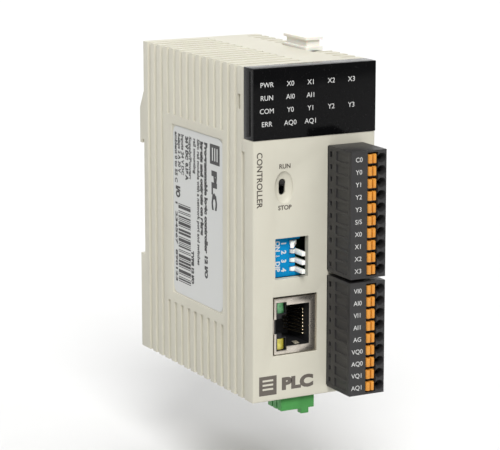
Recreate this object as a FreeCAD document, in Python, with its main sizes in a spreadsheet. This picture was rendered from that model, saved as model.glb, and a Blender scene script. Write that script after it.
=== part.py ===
"""Slim controller module for a 35 mm rail, as a parametric assembly of separate pieces.

Frame: origin at the centre of the rail seat, +Z up, -Y out of the front panel, +X to the
right of a person who faces the panel. All sizes are millimetres and live in the sheet.
"""
import FreeCAD, Part
import math
import os
import re

CELLS = {
    # the box of the module
    "width": 39.0, "height": 95.0, "depth": 70.6, "wall": 1.8, "front_wall": 2.0,
    "cover_depth": 7.0, "gap": 0.2,
    # the ribs on the flanks, the top and the bottom
    "groove_pitch": 4.32, "groove_width": 1.9, "groove_depth": 0.55, "groove_rear": 3.14,
    "rib_free_low": -28.8, "rib_free_high": 27.9, "cover_rib_top": 23.7,
    "channel_left": 0.8, "channel_right": 14.0,
    # the rating label on the left flank
    "label_rear": -19.4, "label_front": -51.9, "label_low": -25.7, "label_high": 25.1,
    "label_recess": 0.4, "label_thickness": 0.12, "label_corner": 1.6,
    # the rail hooks and the sprung latch
    "rail_half": 17.5, "foot_depth": 2.8, "flange_slot": 1.3, "hook_low": 16.3,
    "foot_low_top": -18.0, "foot_high_face": 27.1, "foot_high_end": 32.3,
    "latch_half": 7.8, "latch_wing": 9.0, "latch_bottom": -50.2,
    # the dark indicator window
    "window_low": 27.5, "window_proud": 0.26, "window_back": 5.8, "window_wall": 1.3,
    "lamp_first_x": -15.4, "lamp_second_x": -8.0, "lamp_pitch_x": 6.5,
    "lamp_top_z": 42.9, "lamp_pitch_z": 3.63, "lamp_side": 1.8,
    # the spring-clamp terminal plugs
    "pitch": 3.5, "plug_left": 4.2, "plug_right": 15.5, "plug_proud": 13.0,
    "plug_tail": 6.9, "plug_end": 0.6, "upper_top": 24.6, "lower_top": -12.6,
    "button_left": 9.6, "button_right": 12.5, "button_tall": 2.85, "button_long": 4.4,
    "button_proud": 0.3, "wire_x": 13.95, "wire_radius": 1.4,
    "pin_x": 9.0, "pin_side": 0.8,
    # the run and stop switch
    "mode_x": -9.8, "mode_z": 13.7, "mode_slot_wide": 2.0, "mode_slot_tall": 4.5,
    "mode_travel": 2.5, "dish_wide": 5.8, "dish_tall": 9.2,
    # the four-way lever switch
    "dip_left": -12.5, "dip_right": -1.9, "dip_low": -12.4, "dip_high": -0.7,
    "dip_face": -68.3, "dip_pitch": 2.54, "dip_slot": 1.55, "dip_lever": 1.25,
    "dip_edge": -4.9, "dip_band": 1.1, "dip_pivot_x": -5.3, "dip_pivot_y": -67.2,
    "dip_hub": 1.2, "dip_reach": 5.8, "dip_arm": 1.0, "dip_tilt": 35.0,
    # the network jack
    "jack_left": -12.6, "jack_right": 0.9, "jack_low": -34.2, "jack_high": -18.0,
    "jack_long": 16.0, "shield_wall": 0.3, "jack_mid_z": -26.1, "jack_half": 5.95,
    # the supply plug under the module
    "supply_x": -4.2, "supply_half": 5.35, "supply_front": -68.9, "supply_deep": 8.0,
    "supply_low": -51.5, "supply_tail": 6.5, "screw_z": -49.45, "screw_radius": 1.35,
    # the locks that tie neighbouring modules together
    "lock_left": 13.7, "lock_front": -40.6, "lock_long": 13.5,
    "lock_travel": 5.0,
    # the circuit boards
    "board": 1.6, "main_board_x": 1.1, "io_board_x": 16.0, "display_board_y": -62.0,
}
GROOVES = 14
SHORT_GROOVES = range(3, 12)
LAMP_ROWS = (5, 3, 5, 3)
UPPER_COUNT = 10
LOWER_COUNT = 9
DIP_COUNT = 4
SUPPLY_COUNT = 3
JACK_CONTACTS = 8

doc = FreeCAD.newDocument("ControllerModule")
sheet = doc.addObject("Spreadsheet::Sheet", "Sizes")
for row, (alias, value) in enumerate(CELLS.items(), start=1):
    sheet.set(f"A{row}", alias)
    sheet.set(f"B{row}", str(value))
    sheet.setAlias(f"B{row}", alias)
doc.recompute()
nodes = []


def bound(text):
    """The expression with every cell's word turned into a reference to the sheet."""
    return re.sub(r"[a-z_]+", lambda m: f"Sizes.{m[0]}" if m[0] in CELLS else m[0], str(text))


def bind(obj, **expressions):
    """Binds properties to expressions; a double underscore stands for a dot."""
    for name, text in expressions.items():
        obj.setExpression(name.replace("__", "."), bound(text))
    return obj


def place(obj, x, y, z):
    return bind(obj, Placement__Base__x=x, Placement__Base__y=y, Placement__Base__z=z)


def box(name, xs, ys, zs):
    """A block between two expressions on each axis."""
    block = doc.addObject("Part::Box", name)
    bind(block, Length=f"({xs[1]}) - ({xs[0]})", Width=f"({ys[1]}) - ({ys[0]})",
         Height=f"({zs[1]}) - ({zs[0]})")
    return place(block, xs[0], ys[0], zs[0])


def aim(obj, axis):
    """Turns a round primitive, which stands along Z, to lie along another axis."""
    turns = {"X": FreeCAD.Rotation(FreeCAD.Vector(0, 1, 0), 90),
             "Y": FreeCAD.Rotation(FreeCAD.Vector(1, 0, 0), -90),
             "Z": FreeCAD.Rotation()}
    obj.Placement.Rotation = turns[axis]
    return obj


def cylinder(name, start, radius, length, axis):
    rod = aim(doc.addObject("Part::Cylinder", name), axis)
    bind(rod, Radius=radius, Height=length)
    return place(rod, *start)


def cone(name, start, radius, end_radius, length, axis):
    taper = aim(doc.addObject("Part::Cone", name), axis)
    bind(taper, Radius1=radius, Radius2=end_radius, Height=length)
    return place(taper, *start)


def fuse(name, pieces):
    joined = doc.addObject("Part::MultiFuse", name)
    joined.Shapes = pieces
    return joined


def cut(name, base, tools):
    """The base less all of the tools."""
    result = doc.addObject("Part::Cut", name)
    result.Base = base
    result.Tool = tools[0] if len(tools) == 1 else fuse(f"{name}_tools", tools)
    return result


def group(name, pieces):
    """Separate solids that share one node."""
    gathered = doc.addObject("Part::Compound", name)
    gathered.Links = pieces
    return gathered


def node(name, obj):
    """Names a finished piece as a node of the assembly."""
    obj.Label = name
    nodes.append(obj)
    return obj


def groove_span(index):
    rear = f"-groove_rear - {index} * groove_pitch"
    return (f"{rear} - groove_width", rear)


def flank_grooves():
    """Grooves down both flanks; those beside the label are in two lengths."""
    tools = []
    for index in range(GROOVES):
        spans = [("-height/2 - 1", "height/2 + 1")]
        if index in SHORT_GROOVES:
            spans = [("-height/2 - 1", "rib_free_low"), ("rib_free_high", "height/2 + 1")]
        for part, zs in enumerate(spans):
            ys = groove_span(index)
            tag = f"{index}_{part}"
            tools.append(box(f"left_groove_{tag}", ("-width/2 - 1", "-width/2 + groove_depth"), ys, zs))
            tools.append(box(f"right_groove_{tag}", ("width/2 - groove_depth", "width/2 + 1"), ys, zs))
    return tools


def end_grooves():
    """Grooves across the top and the bottom, either side of a smooth band."""
    tools = []
    ends = {"top": ("height/2 - groove_depth", "height/2 + 1"),
            "bottom": ("-height/2 - 1", "-height/2 + groove_depth")}
    for end, zs in ends.items():
        for index in range(GROOVES):
            ys = groove_span(index)
            tools.append(box(f"{end}_left_groove_{index}", ("-width/2 - 1", "channel_left"), ys, zs))
            tools.append(box(f"{end}_right_groove_{index}", ("channel_right", "width/2 + 1"), ys, zs))
    return tools


def lock_slots():
    """The pocket and the through slot of each module lock."""
    tools = []
    ends = {"top": (("height/2 - 0.7", "height/2 + 1"), ("height/2 - wall - 1", "height/2 + 1")),
            "bottom": (("-height/2 - 1", "-height/2 + 0.7"), ("-height/2 - 1", "-height/2 + wall + 1"))}
    for end, (pocket_z, slot_z) in ends.items():
        tools.append(box(f"{end}_lock_pocket", ("lock_left - 0.3", "width/2 + 1"),
                         ("lock_front - lock_travel - 0.3", "lock_front + lock_long + 0.3"), pocket_z))
        tools.append(box(f"{end}_lock_slot", ("lock_left + 1.2", "width/2 - 2.2"),
                         ("lock_front - lock_travel + 2.7", "lock_front + lock_long - 2.7"), slot_z))
    return tools


def supply_mouth(name):
    """The hole in the floor that the supply header looks out of."""
    return box(name, ("supply_x - supply_half - 0.4", "supply_x + supply_half + 0.4"),
               ("supply_front + 0.3", "supply_front + supply_deep + 0.5"),
               ("-height/2 - 1", "-height/2 + wall + 1"))


def rear_housing():
    """The deep shell with its ribs, its fixed rail hook and the guide of the latch."""
    shell = box("housing_block", ("-width/2", "width/2"), ("cover_depth - depth", "0"),
                ("-height/2", "height/2"))
    high_foot = doc.addObject("Part::Wedge", "high_foot")
    bind(high_foot, Xmin="-width/2", Xmax="width/2", X2min="-width/2", X2max="width/2",
         Ymin="-0.5", Ymax="foot_depth", Zmin="rail_half", Zmax="foot_high_end + 1",
         Z2min="rail_half", Z2max="foot_high_face")
    hook = box("fixed_hook", ("-width/2", "width/2"), ("flange_slot", "foot_depth"),
               ("hook_low", "rail_half + 0.5"))
    low_foot = box("low_foot", ("-width/2", "width/2"), ("-0.5", "foot_depth"),
                   ("-height/2", "foot_low_top"))
    solid = fuse("housing_solid", [shell, high_foot, hook, low_foot])
    cavity = box("housing_cavity", ("wall - width/2", "width/2 - wall"),
                 ("cover_depth - depth - 1", "-wall - gap"), ("wall - height/2", "height/2 - wall"))
    guide = box("latch_guide", ("-latch_half - 0.3", "latch_half + 0.3"),
                ("flange_slot - 0.1", "foot_depth + 1"), ("-height/2 - 1", "foot_low_top + 1"))
    wing_guide = box("latch_wing_guide", ("-latch_wing - 0.3", "latch_wing + 0.3"),
                     ("flange_slot - 0.1", "flange_slot + 0.85"), ("-height/2 - 1", "foot_low_top + 1"))
    label_recess = box("label_recess_tool", ("-width/2 - 1", "-width/2 + label_recess"),
                       ("label_front", "label_rear"), ("label_low", "label_high"))
    snaps = [box(f"snap_slot_{side}", xs, ("1.3 + cover_depth + gap + 0.7 - depth",
                 "1.3 + cover_depth + 1.9 - depth"), ("35.4", "39.6"))
             for side, xs in (("left", ("-width/2 - 1", "-width/2 + wall + 1")),
                              ("right", ("width/2 - wall - 1", "width/2 + 1")))]
    tools = [cavity, guide, wing_guide, label_recess, supply_mouth("housing_mouth")]
    tools += snaps + flank_grooves() + end_grooves() + lock_slots()
    node("rear_housing", cut("rear_housing", solid, tools))


def plug_z(top, count):
    """Low and high ends of a terminal plug as expressions."""
    return (f"{top} - {count} * pitch - 2 * plug_end", top)


def pole_z(top, index):
    return f"{top} - plug_end - ({index} + 0.5) * pitch"


def lamp_places():
    """The place of every indicator lamp behind the window."""
    places = []
    for row, columns in enumerate(LAMP_ROWS):
        z = f"lamp_top_z - {row} * lamp_pitch_z"
        for column in range(columns):
            x = "lamp_first_x" if column == 0 else f"lamp_second_x + {column - 1} * lamp_pitch_x"
            places.append((x, z))
    return places


def square(name, x, z, side, ys):
    """A square bar along Y, centred on x and z."""
    return box(name, (f"{x} - ({side})/2", f"{x} + ({side})/2"), ys,
               (f"{z} - ({side})/2", f"{z} + ({side})/2"))


def front_cover():
    """The front shell: panel, openings and the stepped seat of the window."""
    block = box("cover_block", ("-width/2", "width/2"), ("-depth", "cover_depth - depth"),
                ("-height/2", "height/2"))
    seat = box("window_seat", ("-width/2 - 1", "width/2 + 1"), ("-depth - 1", "window_back - depth + 0.1"),
               ("window_low - 0.1", "height/2 + 1"))
    inside = box("cover_inside", ("wall - width/2", "width/2 - wall"),
                 ("front_wall - depth", "cover_depth - depth + 1"), ("wall - height/2", "window_low - 2"))
    dish = doc.addObject("Part::Ellipsoid", "mode_dish")
    bind(dish, Radius1="dish_tall/2", Radius2="dish_wide/2", Radius3="1.3")
    place(dish, "mode_x", "-depth", "mode_z")
    through = ("-depth - 1", "front_wall - depth + 1")
    end = "(mode_slot_tall - mode_slot_wide)/2"
    mode_slot = box("mode_slot", ("mode_x - mode_slot_wide/2", "mode_x + mode_slot_wide/2"), through,
                    (f"mode_z - {end}", f"mode_z + {end}"))
    slot_ends = [cylinder(f"mode_slot_end_{sign}", ("mode_x", "-depth - 1", f"mode_z {sign} {end}"),
                          "mode_slot_wide/2", "front_wall + 2", "Y") for sign in "+-"]
    dip = box("dip_opening", ("dip_left", "dip_right"), through, ("dip_low", "dip_high"))
    jack = box("jack_opening", ("jack_left - 0.15", "jack_right + 0.15"), through,
               ("jack_low - 0.15", "jack_high + 0.15"))
    tools = [seat, inside, dish, mode_slot, dip, jack, supply_mouth("cover_mouth")] + slot_ends
    for plug, top, count in (("upper", "upper_top", UPPER_COUNT), ("lower", "lower_top", LOWER_COUNT)):
        low, high = plug_z(top, count)
        tools.append(box(f"{plug}_plug_opening", ("plug_left", "plug_right"), through,
                         (f"{low} + 0.2", f"{high} - 0.2")))
    for index, (x, z) in enumerate(lamp_places()):
        tools.append(square(f"lamp_hole_{index}", x, z, "lamp_side + 0.4",
                            ("window_back - depth - 1", "cover_depth - depth + 1")))
    groove = ("cover_depth - depth - groove_width", "cover_depth - depth + 1")
    for side, xs in (("left", ("-width/2 - 1", "-width/2 + groove_depth")),
                     ("right", ("width/2 - groove_depth", "width/2 + 1"))):
        tools.append(box(f"cover_groove_{side}", xs, groove, ("-height/2 - 1", "cover_rib_top")))
    node("front_cover", cut("front_cover", block, tools))


def indicator_window():
    """The dark cap that wraps the top of the front and hides the lamps until they light."""
    block = box("window_block", ("-width/2", "width/2"), ("-depth - window_proud", "window_back - depth"),
                ("window_low", "height/2"))
    inside = box("window_inside", ("window_wall - width/2", "width/2 - window_wall"),
                 ("window_wall - depth", "window_back - depth + 1"),
                 ("window_low + window_wall", "height/2 - window_wall"))
    nicks = [box(f"window_nick_{side}", xs, ("1.65 - depth", "2.15 - depth"),
                 ("window_low + 1.1", "height/2 - 1"))
             for side, xs in (("left", ("-width/2 - 1", "0.35 - width/2")),
                              ("right", ("width/2 - 0.35", "width/2 + 1")))]
    node("indicator_window", cut("indicator_window", block, [inside] + nicks))


def light_guide():
    """One clear moulding: a plate with a square light pipe for every lamp."""
    plate = box("guide_plate", ("2.6 - width/2", "width/2 - 2.6"),
                ("window_back - depth - 1.4", "window_back - depth"), ("window_low + 2", "height/2 - 2"))
    pipes = [square(f"guide_pipe_{index}", x, z, "lamp_side",
                    ("window_back - depth - 1", "display_board_y - 0.8"))
             for index, (x, z) in enumerate(lamp_places())]
    node("light_guide", fuse("light_guide", [plate] + pipes))


def rating_label():
    """The thin printed label in its recess, with rounded corners."""
    face = box("label_blank", ("-width/2 + label_recess - label_thickness", "-width/2 + label_recess"),
               ("label_front + 0.2", "label_rear - 0.2"), ("label_low + 0.2", "label_high - 0.2"))
    doc.recompute()
    rounded = doc.addObject("Part::Fillet", "rating_label")
    rounded.Base = face
    corner = sheet.get("label_corner")
    across = [number for number, edge in enumerate(face.Shape.Edges, start=1)
              if edge.BoundBox.XLength > 0.01 and edge.BoundBox.DiagonalLength < 0.2]
    rounded.Edges = [(number, corner, corner) for number in across]
    node("rating_label", rounded)


def din_latch():
    """The sprung slide under the rail; a screwdriver pulls its tab down."""
    blade = box("latch_blade", ("-latch_half", "latch_half"), ("flange_slot + 0.05", "foot_depth"),
                ("latch_bottom", "-hook_low"))
    wings = box("latch_wings", ("-latch_wing", "latch_wing"), ("flange_slot + 0.05", "flange_slot + 0.7"),
                ("-height/2 + 6", "foot_low_top - 1"))
    tool_slot = box("latch_tool_slot", ("-2.5", "2.5"), ("0", "foot_depth + 1"),
                    ("latch_bottom + 1", "latch_bottom + 2.4"))
    window = box("latch_spring_window", ("-4", "4"), ("0", "foot_depth + 1"), ("-40", "-28"))
    tongue = box("latch_spring_tongue", ("-0.6", "0.6"), ("flange_slot + 0.1", "foot_depth - 0.2"),
                 ("-40.5", "-30"))
    frame = cut("latch_frame", fuse("latch_solid", [blade, wings]), [tool_slot, window])
    node("din_latch", fuse("din_latch", [frame, tongue]))


def module_lock(name, sign):
    """A white slide with a cap, a neck through the wall and a flange that holds it in."""
    skin = f"{sign} * height/2"

    def layer(part, inset, near, far):
        faces = sorted([sign * near, sign * far])
        return box(f"{name}_{part}", (f"lock_left + {inset}", f"width/2 - {inset}"),
                   (f"lock_front + {inset}", f"lock_front + lock_long - {inset}"),
                   (f"{skin} + {faces[0]}", f"{skin} + {faces[1]}"))

    base = layer("base", 0, -0.5, 0.7)
    neck = layer("neck", 0.7, 0.6, 2.7)
    cap = layer("cap", 0, 2.6, 3.5)
    near, far = sorted([sign * -2.6, sign * -0.4])
    stem = box(f"{name}_stem", ("lock_left + 1.4", "width/2 - 2.4"),
               ("lock_front + 2.9", "lock_front + lock_long - 2.9"), (f"{skin} + {near}",
                                                                      f"{skin} + {far}"))
    near, far = sorted([sign * -3.0, sign * -2.1])
    flange = box(f"{name}_flange", ("lock_left + 0.5", "width/2 - 2.0"),
                 ("lock_front + 2.9", "lock_front + lock_long - 2.9"), (f"{skin} + {near}",
                                                                        f"{skin} + {far}"))
    grip = [box(f"{name}_grip_{index}", ("lock_left + 1", "width/2 - 1"),
                (f"lock_front + 3.5 + {index} * 2.6", f"lock_front + 4.5 + {index} * 2.6"),
                (f"{skin} + {min(sign * 3.2, sign * 4)}", f"{skin} + {max(sign * 3.2, sign * 4)}"))
            for index in range(3)]
    node(name, cut(name, fuse(f"{name}_solid", [base, neck, cap, stem, flange]), grip))


def boards():
    """The processor board, the input and output board and the lamp board."""
    inner = "height/2 - wall"
    main = [box("main_board_rear", ("main_board_x", "main_board_x + board"), ("-59.8", "-3"),
                (f"-({inner})", inner)),
            box("main_board_nose", ("main_board_x", "main_board_x + board"), ("-68", "-59"),
                (f"-({inner}) + 11", "-15"))]
    node("main_board", fuse("main_board", main))
    node("io_board", box("io_board", ("io_board_x", "io_board_x + board"), ("-60.5", "-3"),
                         ("-44.2", "26")))
    near = ("display_board_y", "display_board_y + board")
    lamps = [box("lamp_board_left", ("-width/2 + wall + 0.3", "main_board_x - 0.5"), near,
                 ("-14", f"{inner} - 0.3")),
             box("lamp_board_top", ("-width/2 + wall + 0.3", "width/2 - wall - 0.3"), near,
                 ("27", f"{inner} - 0.3"))]
    node("display_board", fuse("display_board", lamps))
    lights = [square(f"lamp_{index}", x, z, "1.4", ("display_board_y - 0.6", "display_board_y"))
              for index, (x, z) in enumerate(lamp_places())]
    node("indicator_leds", group("indicator_leds", lights))


def board_parts():
    """The chips, relays and capacitors that the boards carry."""
    skin = "main_board_x"
    chips = [box("processor", (f"{skin} - 1.4", skin), ("-40", "-26"), ("0", "14")),
             box("memory", (f"{skin} - 1.2", skin), ("-22", "-14"), ("4", "10")),
             box("network_driver", (f"{skin} - 1.2", skin), ("-50", "-43"), ("-24", "-17"))]
    node("processor_chips", group("processor_chips", chips))
    relays = [box(f"relay_{index}", ("io_board_x - 5", "io_board_x"), ("-28", "-8"),
                  (f"-42 + {index} * 15", f"-29.6 + {index} * 15")) for index in range(4)]
    node("output_relays", group("output_relays", relays))
    cans = [cylinder(f"capacitor_{index}", (f"{skin} - 10", f"-34 + {index} * 11", "-38"), "4", "10", "X")
            for index in range(2)]
    node("capacitors", group("capacitors", cans))


def mode_switch():
    """The run and stop switch behind its dished slot."""
    body = box("mode_block", ("mode_x - 2.8", "mode_x + 2.8"),
               ("front_wall - depth + 0.2", "display_board_y"),
               ("mode_z - 4.8", "mode_z + 4.8"))
    throat = box("mode_throat", ("mode_x - 1.05", "mode_x + 1.05"), ("-depth", "-65.5"),
                 ("mode_z - mode_slot_tall/2 - 0.1", "mode_z + mode_slot_tall/2 + 0.1"))
    chamber = box("mode_chamber", ("mode_x - 1.9", "mode_x + 1.9"), ("-66.6", "-64"),
                  ("mode_z - 3.4", "mode_z + 3.4"))
    node("mode_switch_body", cut("mode_switch_body", body, [throat, chamber]))
    middle = "mode_z + mode_travel/2"
    nub = cylinder("mode_nub", ("mode_x", "0.9 - depth", middle), "mode_slot_wide/2 - 0.2", "3.9", "Y")
    carrier = box("mode_carrier", ("mode_x - 1.6", "mode_x + 1.6"), ("-66.3", "-64.3"),
                  (f"{middle} - 1.8", f"{middle} + 1.8"))
    node("mode_switch_lever", fuse("mode_switch_lever", [nub, carrier]))


def dip_z(index):
    """The height of a switch lever's middle as an expression."""
    return f"(dip_low + dip_high)/2 + (1.5 - {index}) * dip_pitch"


def dip_switch():
    """The blue four-way switch; its levers stand out of slots at its right edge."""
    block = box("dip_block", ("dip_left + 0.1", "dip_edge"), ("dip_face", "display_board_y"),
                ("dip_low + 0.1", "dip_high - 0.1"))
    ends = {"low": ("dip_low + 0.1", "dip_low + dip_band"),
            "high": ("dip_high - dip_band", "dip_high - 0.1")}
    bands = [box(f"dip_band_{end}", ("dip_edge - 0.5", "dip_edge + 1.5"), ("dip_face", "display_board_y"),
                 zs)
             for end, zs in ends.items()]
    slots = []
    for index in range(DIP_COUNT):
        z = dip_z(index)
        slots.append(box(f"dip_slot_{index}", ("dip_pivot_x - dip_hub - 0.2", "dip_edge + 1"),
                         ("dip_face - 1", "dip_pivot_y + dip_hub + 0.2"),
                         (f"{z} - dip_slot/2", f"{z} + dip_slot/2")))
    node("dip_switch_body", cut("dip_switch_body", fuse("dip_solid", [block] + bands), slots))
    for index in range(DIP_COUNT):
        dip_lever(index)


def dip_lever(index):
    """A hub with an arm that stands out; the first lever is tipped over the body, which is on."""
    name = f"dip_lever_{index + 1}"
    low = f"{dip_z(index)} - dip_lever/2"
    hub = cylinder(f"{name}_hub", ("dip_pivot_x", "dip_pivot_y", low), "dip_hub", "dip_lever", "Z")
    arm = doc.addObject("Part::Box", f"{name}_arm")
    bind(arm, Length="dip_reach", Width="dip_arm", Height="dip_lever")
    tilt = CELLS["dip_tilt"] if index == 0 else 0
    arm.Placement.Rotation = FreeCAD.Rotation(FreeCAD.Vector(0, 0, 1), -90 - tilt)
    lean = math.radians(tilt)
    place(arm, f"dip_pivot_x + {0.1 * math.cos(lean):.4f}", f"dip_pivot_y - {0.1 * math.sin(lean):.4f}",
          low)
    node(name, fuse(name, [hub, arm]))


def network_jack():
    """The shielded jack: metal skin, moulded insert, eight springs and two lamps."""
    front = "0.4 - depth"
    back = "0.4 - depth + jack_long"
    shell = box("shield_block", ("jack_left", "jack_right"), (front, back), ("jack_low", "jack_high"))
    hollow = box("shield_hollow", ("jack_left + shield_wall", "jack_right - shield_wall"),
                 (f"{front} + shield_wall", f"{back} + 1"), ("jack_low + shield_wall",
                                                             "jack_high - shield_wall"))
    reach = (f"{front} - 1", f"{front} + 12.6")
    cavity = ("jack_left + 4.0", "jack_left + 11.3")

    def mouth(tag):
        """The plug's way in: the body's rectangle and the two steps of its latch."""
        middle = "jack_mid_z"
        return [box(f"{tag}_mouth", cavity, reach, (f"{middle} - jack_half", f"{middle} + jack_half")),
                box(f"{tag}_latch_wide", ("jack_left + 2.6", "jack_left + 4.1"), reach,
                    (f"{middle} - 3.2", f"{middle} + 3.2")),
                box(f"{tag}_latch_slim", ("jack_left + 0.7", "jack_left + 2.7"), reach,
                    (f"{middle} - 2.1", f"{middle} + 2.1"))]

    lamps = {"green": ("jack_high - 4.4", "jack_high - 1.3"),
             "yellow": ("jack_low + 1.3", "jack_low + 4.4")}
    lamp_x = ("jack_left + 1.2", "jack_left + 3.7")

    def lamp_hole(tag, colour):
        low, high = lamps[colour]
        return box(f"{tag}_{colour}_hole", (lamp_x[0], "jack_left + 3.8"), (f"{front} - 1", f"{front} + 9"),
                   (f"{low} - 0.1", f"{high} + 0.1"))

    openings = mouth("shield") + [lamp_hole("shield", colour) for colour in lamps]
    node("jack_shield", cut("jack_shield", shell, [hollow] + openings))
    insert = box("insert_block", ("jack_left + shield_wall + 0.05", "jack_right - shield_wall - 0.05"),
                 (f"{front} + shield_wall + 0.05", f"{back} - 0.3"),
                 ("jack_low + shield_wall + 0.05", "jack_high - shield_wall - 0.05"))
    sockets = mouth("insert") + [lamp_hole("insert", colour) for colour in lamps]
    node("jack_insert", cut("jack_insert", insert, sockets))
    springs = []
    for index in range(JACK_CONTACTS):
        spring = doc.addObject("Part::Box", f"jack_spring_{index}")
        bind(spring, Length="0.3", Width="8.2", Height="0.45")
        spring.Placement.Rotation = FreeCAD.Rotation(FreeCAD.Vector(0, 0, 1), 17)
        place(spring, "jack_left + 10.7", f"{front} + 2.6", f"jack_mid_z + ({index} - 3.5) * 1.02 - 0.22")
        springs.append(spring)
    node("jack_contacts", group("jack_contacts", springs))
    for colour, (low, high) in lamps.items():
        node(f"jack_led_{colour}", box(f"jack_led_{colour}", lamp_x, (f"{front} + 0.2", f"{front} + 8.8"),
                                       (low, high)))


def header(plug, top, count):
    """The fixed socket behind the panel and its row of bent pins."""
    low, high = plug_z(top, count)
    shell = box(f"{plug}_header_block", ("plug_left + 0.2", "plug_right - 0.2"),
                ("0.3 - depth", "9.3 - depth"),
                (f"{low} + 0.4", f"{high} - 0.4"))
    hollow = box(f"{plug}_header_hollow", ("plug_left + 0.9", "plug_right - 0.9"),
                 ("-depth - 1", "7.8 - depth"),
                 (f"{low} + 1.0", f"{high} - 1.0"))
    slots = []
    pins = []
    for index in range(count):
        z = pole_z(top, index)
        slots.append(square(f"{plug}_pin_hole_{index}", "pin_x", z, "pin_side", ("-depth", "11 - depth")))
        blade = square(f"{plug}_blade_{index}", "pin_x", z, "pin_side", ("2.4 - depth", "11.6 - depth"))
        leg = box(f"{plug}_leg_{index}", ("pin_x", "io_board_x"), ("10.8 - depth", "11.6 - depth"),
                  (f"{z} - pin_side/2", f"{z} + pin_side/2"))
        pins.append(fuse(f"{plug}_pin_{index}", [blade, leg]))
    node(f"{plug}_header", cut(f"{plug}_header", shell, [hollow] + slots))
    node(f"{plug}_header_pins", group(f"{plug}_header_pins", pins))


def terminal_plug(plug, top, count):
    """A pull-off block of spring clamps, with a push button and a wire mouth for each pole."""
    low, high = plug_z(top, count)
    face = "-depth - plug_proud"
    head = box(f"{plug}_head", ("plug_left", "plug_right"), (face, "-depth - 0.2"), (low, high))
    tail = box(f"{plug}_tail", ("plug_left + 1.1", "plug_right - 1.1"),
               ("-depth - 0.5", "plug_tail - depth"),
               (f"{low} + 1.2", f"{high} - 1.2"))
    tools = [box(f"{plug}_button_channel", ("button_left - 0.15", "button_right + 0.2"),
                 (f"{face} - 1", f"{face} + 1.2"),
                 (f"{low} + plug_end", f"{high} - plug_end"))]
    for index in range(count):
        z = pole_z(top, index)
        tag = f"{plug}_{index}"
        tools += [
            box(f"{tag}_button_well", ("button_left - 0.15", "button_right + 0.2"),
                (f"{face} - 1", f"{face} + 6"),
                (f"{z} - button_tall/2 - 0.15", f"{z} + button_tall/2 + 0.15")),
            cone(f"{tag}_funnel", ("wire_x", f"{face} - 0.01", z), "wire_radius", "wire_radius * 0.6",
                 "2.4", "Y"),
            square(f"{tag}_wire_way", "wire_x", z, "1.6", (f"{face} + 2", f"{face} + 5")),
            box(f"{tag}_clamp_room", ("wire_x - 1.1", "wire_x + 1.05"), (f"{face} + 4.4", f"{face} + 8.9"),
                (f"{z} - 1", f"{z} + 1")),
            box(f"{tag}_strip_room", ("pin_x - 1.3", "wire_x + 1.05"), (f"{face} + 7.4", f"{face} + 8.9"),
                (f"{z} - 1", f"{z} + 1")),
            square(f"{tag}_socket_room", "pin_x", z, "2.2", (f"{face} + 7.4", "plug_tail - depth + 1")),
            box(f"{tag}_test_slot", ("plug_left - 1", "plug_left + 1"), ("-depth - 2.3", "-depth - 1.2"),
                (f"{z} - 0.65", f"{z} + 0.65")),
            box(f"{tag}_grip_dent", ("plug_left - 1", "plug_left + 0.3"), ("-depth - 11.4", "-depth - 4.7"),
                (f"{z} - 1.25", f"{z} + 1.25")),
        ]
    node(f"{plug}_plug_body", cut(f"{plug}_plug_body", fuse(f"{plug}_plug_solid", [head, tail]), tools))
    cages = [clamp_cage(f"{plug}_cage_{index}", pole_z(top, index), face) for index in range(count)]
    node(f"{plug}_plug_contacts", group(f"{plug}_plug_contacts", cages))
    for index in range(count):
        push_button(f"{plug}_button_{index + 1:02d}", pole_z(top, index), face)


def clamp_cage(name, z, face):
    """The sprung metal part of one pole: wire clamp, strip and pin socket in one piece."""
    thick = (f"{z} - 0.85", f"{z} + 0.85")
    clamp = box(f"{name}_clamp", ("wire_x - 0.9", "wire_x + 0.85"), (f"{face} + 5", f"{face} + 8.7"), thick)
    strip = box(f"{name}_strip", ("pin_x - 0.9", "wire_x + 0.85"), (f"{face} + 7.6", f"{face} + 8.7"),
                thick)
    socket = square(f"{name}_socket", "pin_x", z, "1.8", (f"{face} + 7.6", "plug_tail - depth - 0.3"))
    wire_way = square(f"{name}_way", "wire_x", z, "1.2", (f"{face} + 4", f"{face} + 7.5"))
    pin_way = square(f"{name}_pin_way", "pin_x", z, "pin_side + 0.4",
                     (f"{face} + 9.5", "plug_tail - depth + 1"))
    return cut(name, fuse(f"{name}_solid", [clamp, strip, socket]), [wire_way, pin_way])


def push_button(name, z, face):
    """A small key with two rounded ridges that opens one spring clamp."""
    low = f"{z} - button_tall/2"
    radius = "(button_right - button_left)/4"
    key = box(f"{name}_key", ("button_left", "button_right"),
              (f"{face} - button_proud + {radius}", f"{face} - button_proud + button_long"),
              (low, f"{z} + button_tall/2"))
    ridges = [cylinder(f"{name}_ridge_{side}", (f"button_left + {share} * {radius}",
                       f"{face} - button_proud + {radius}", low), radius, "button_tall", "Z")
              for side, share in (("left", 1), ("right", 3))]
    node(name, fuse(name, [key] + ridges))


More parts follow.
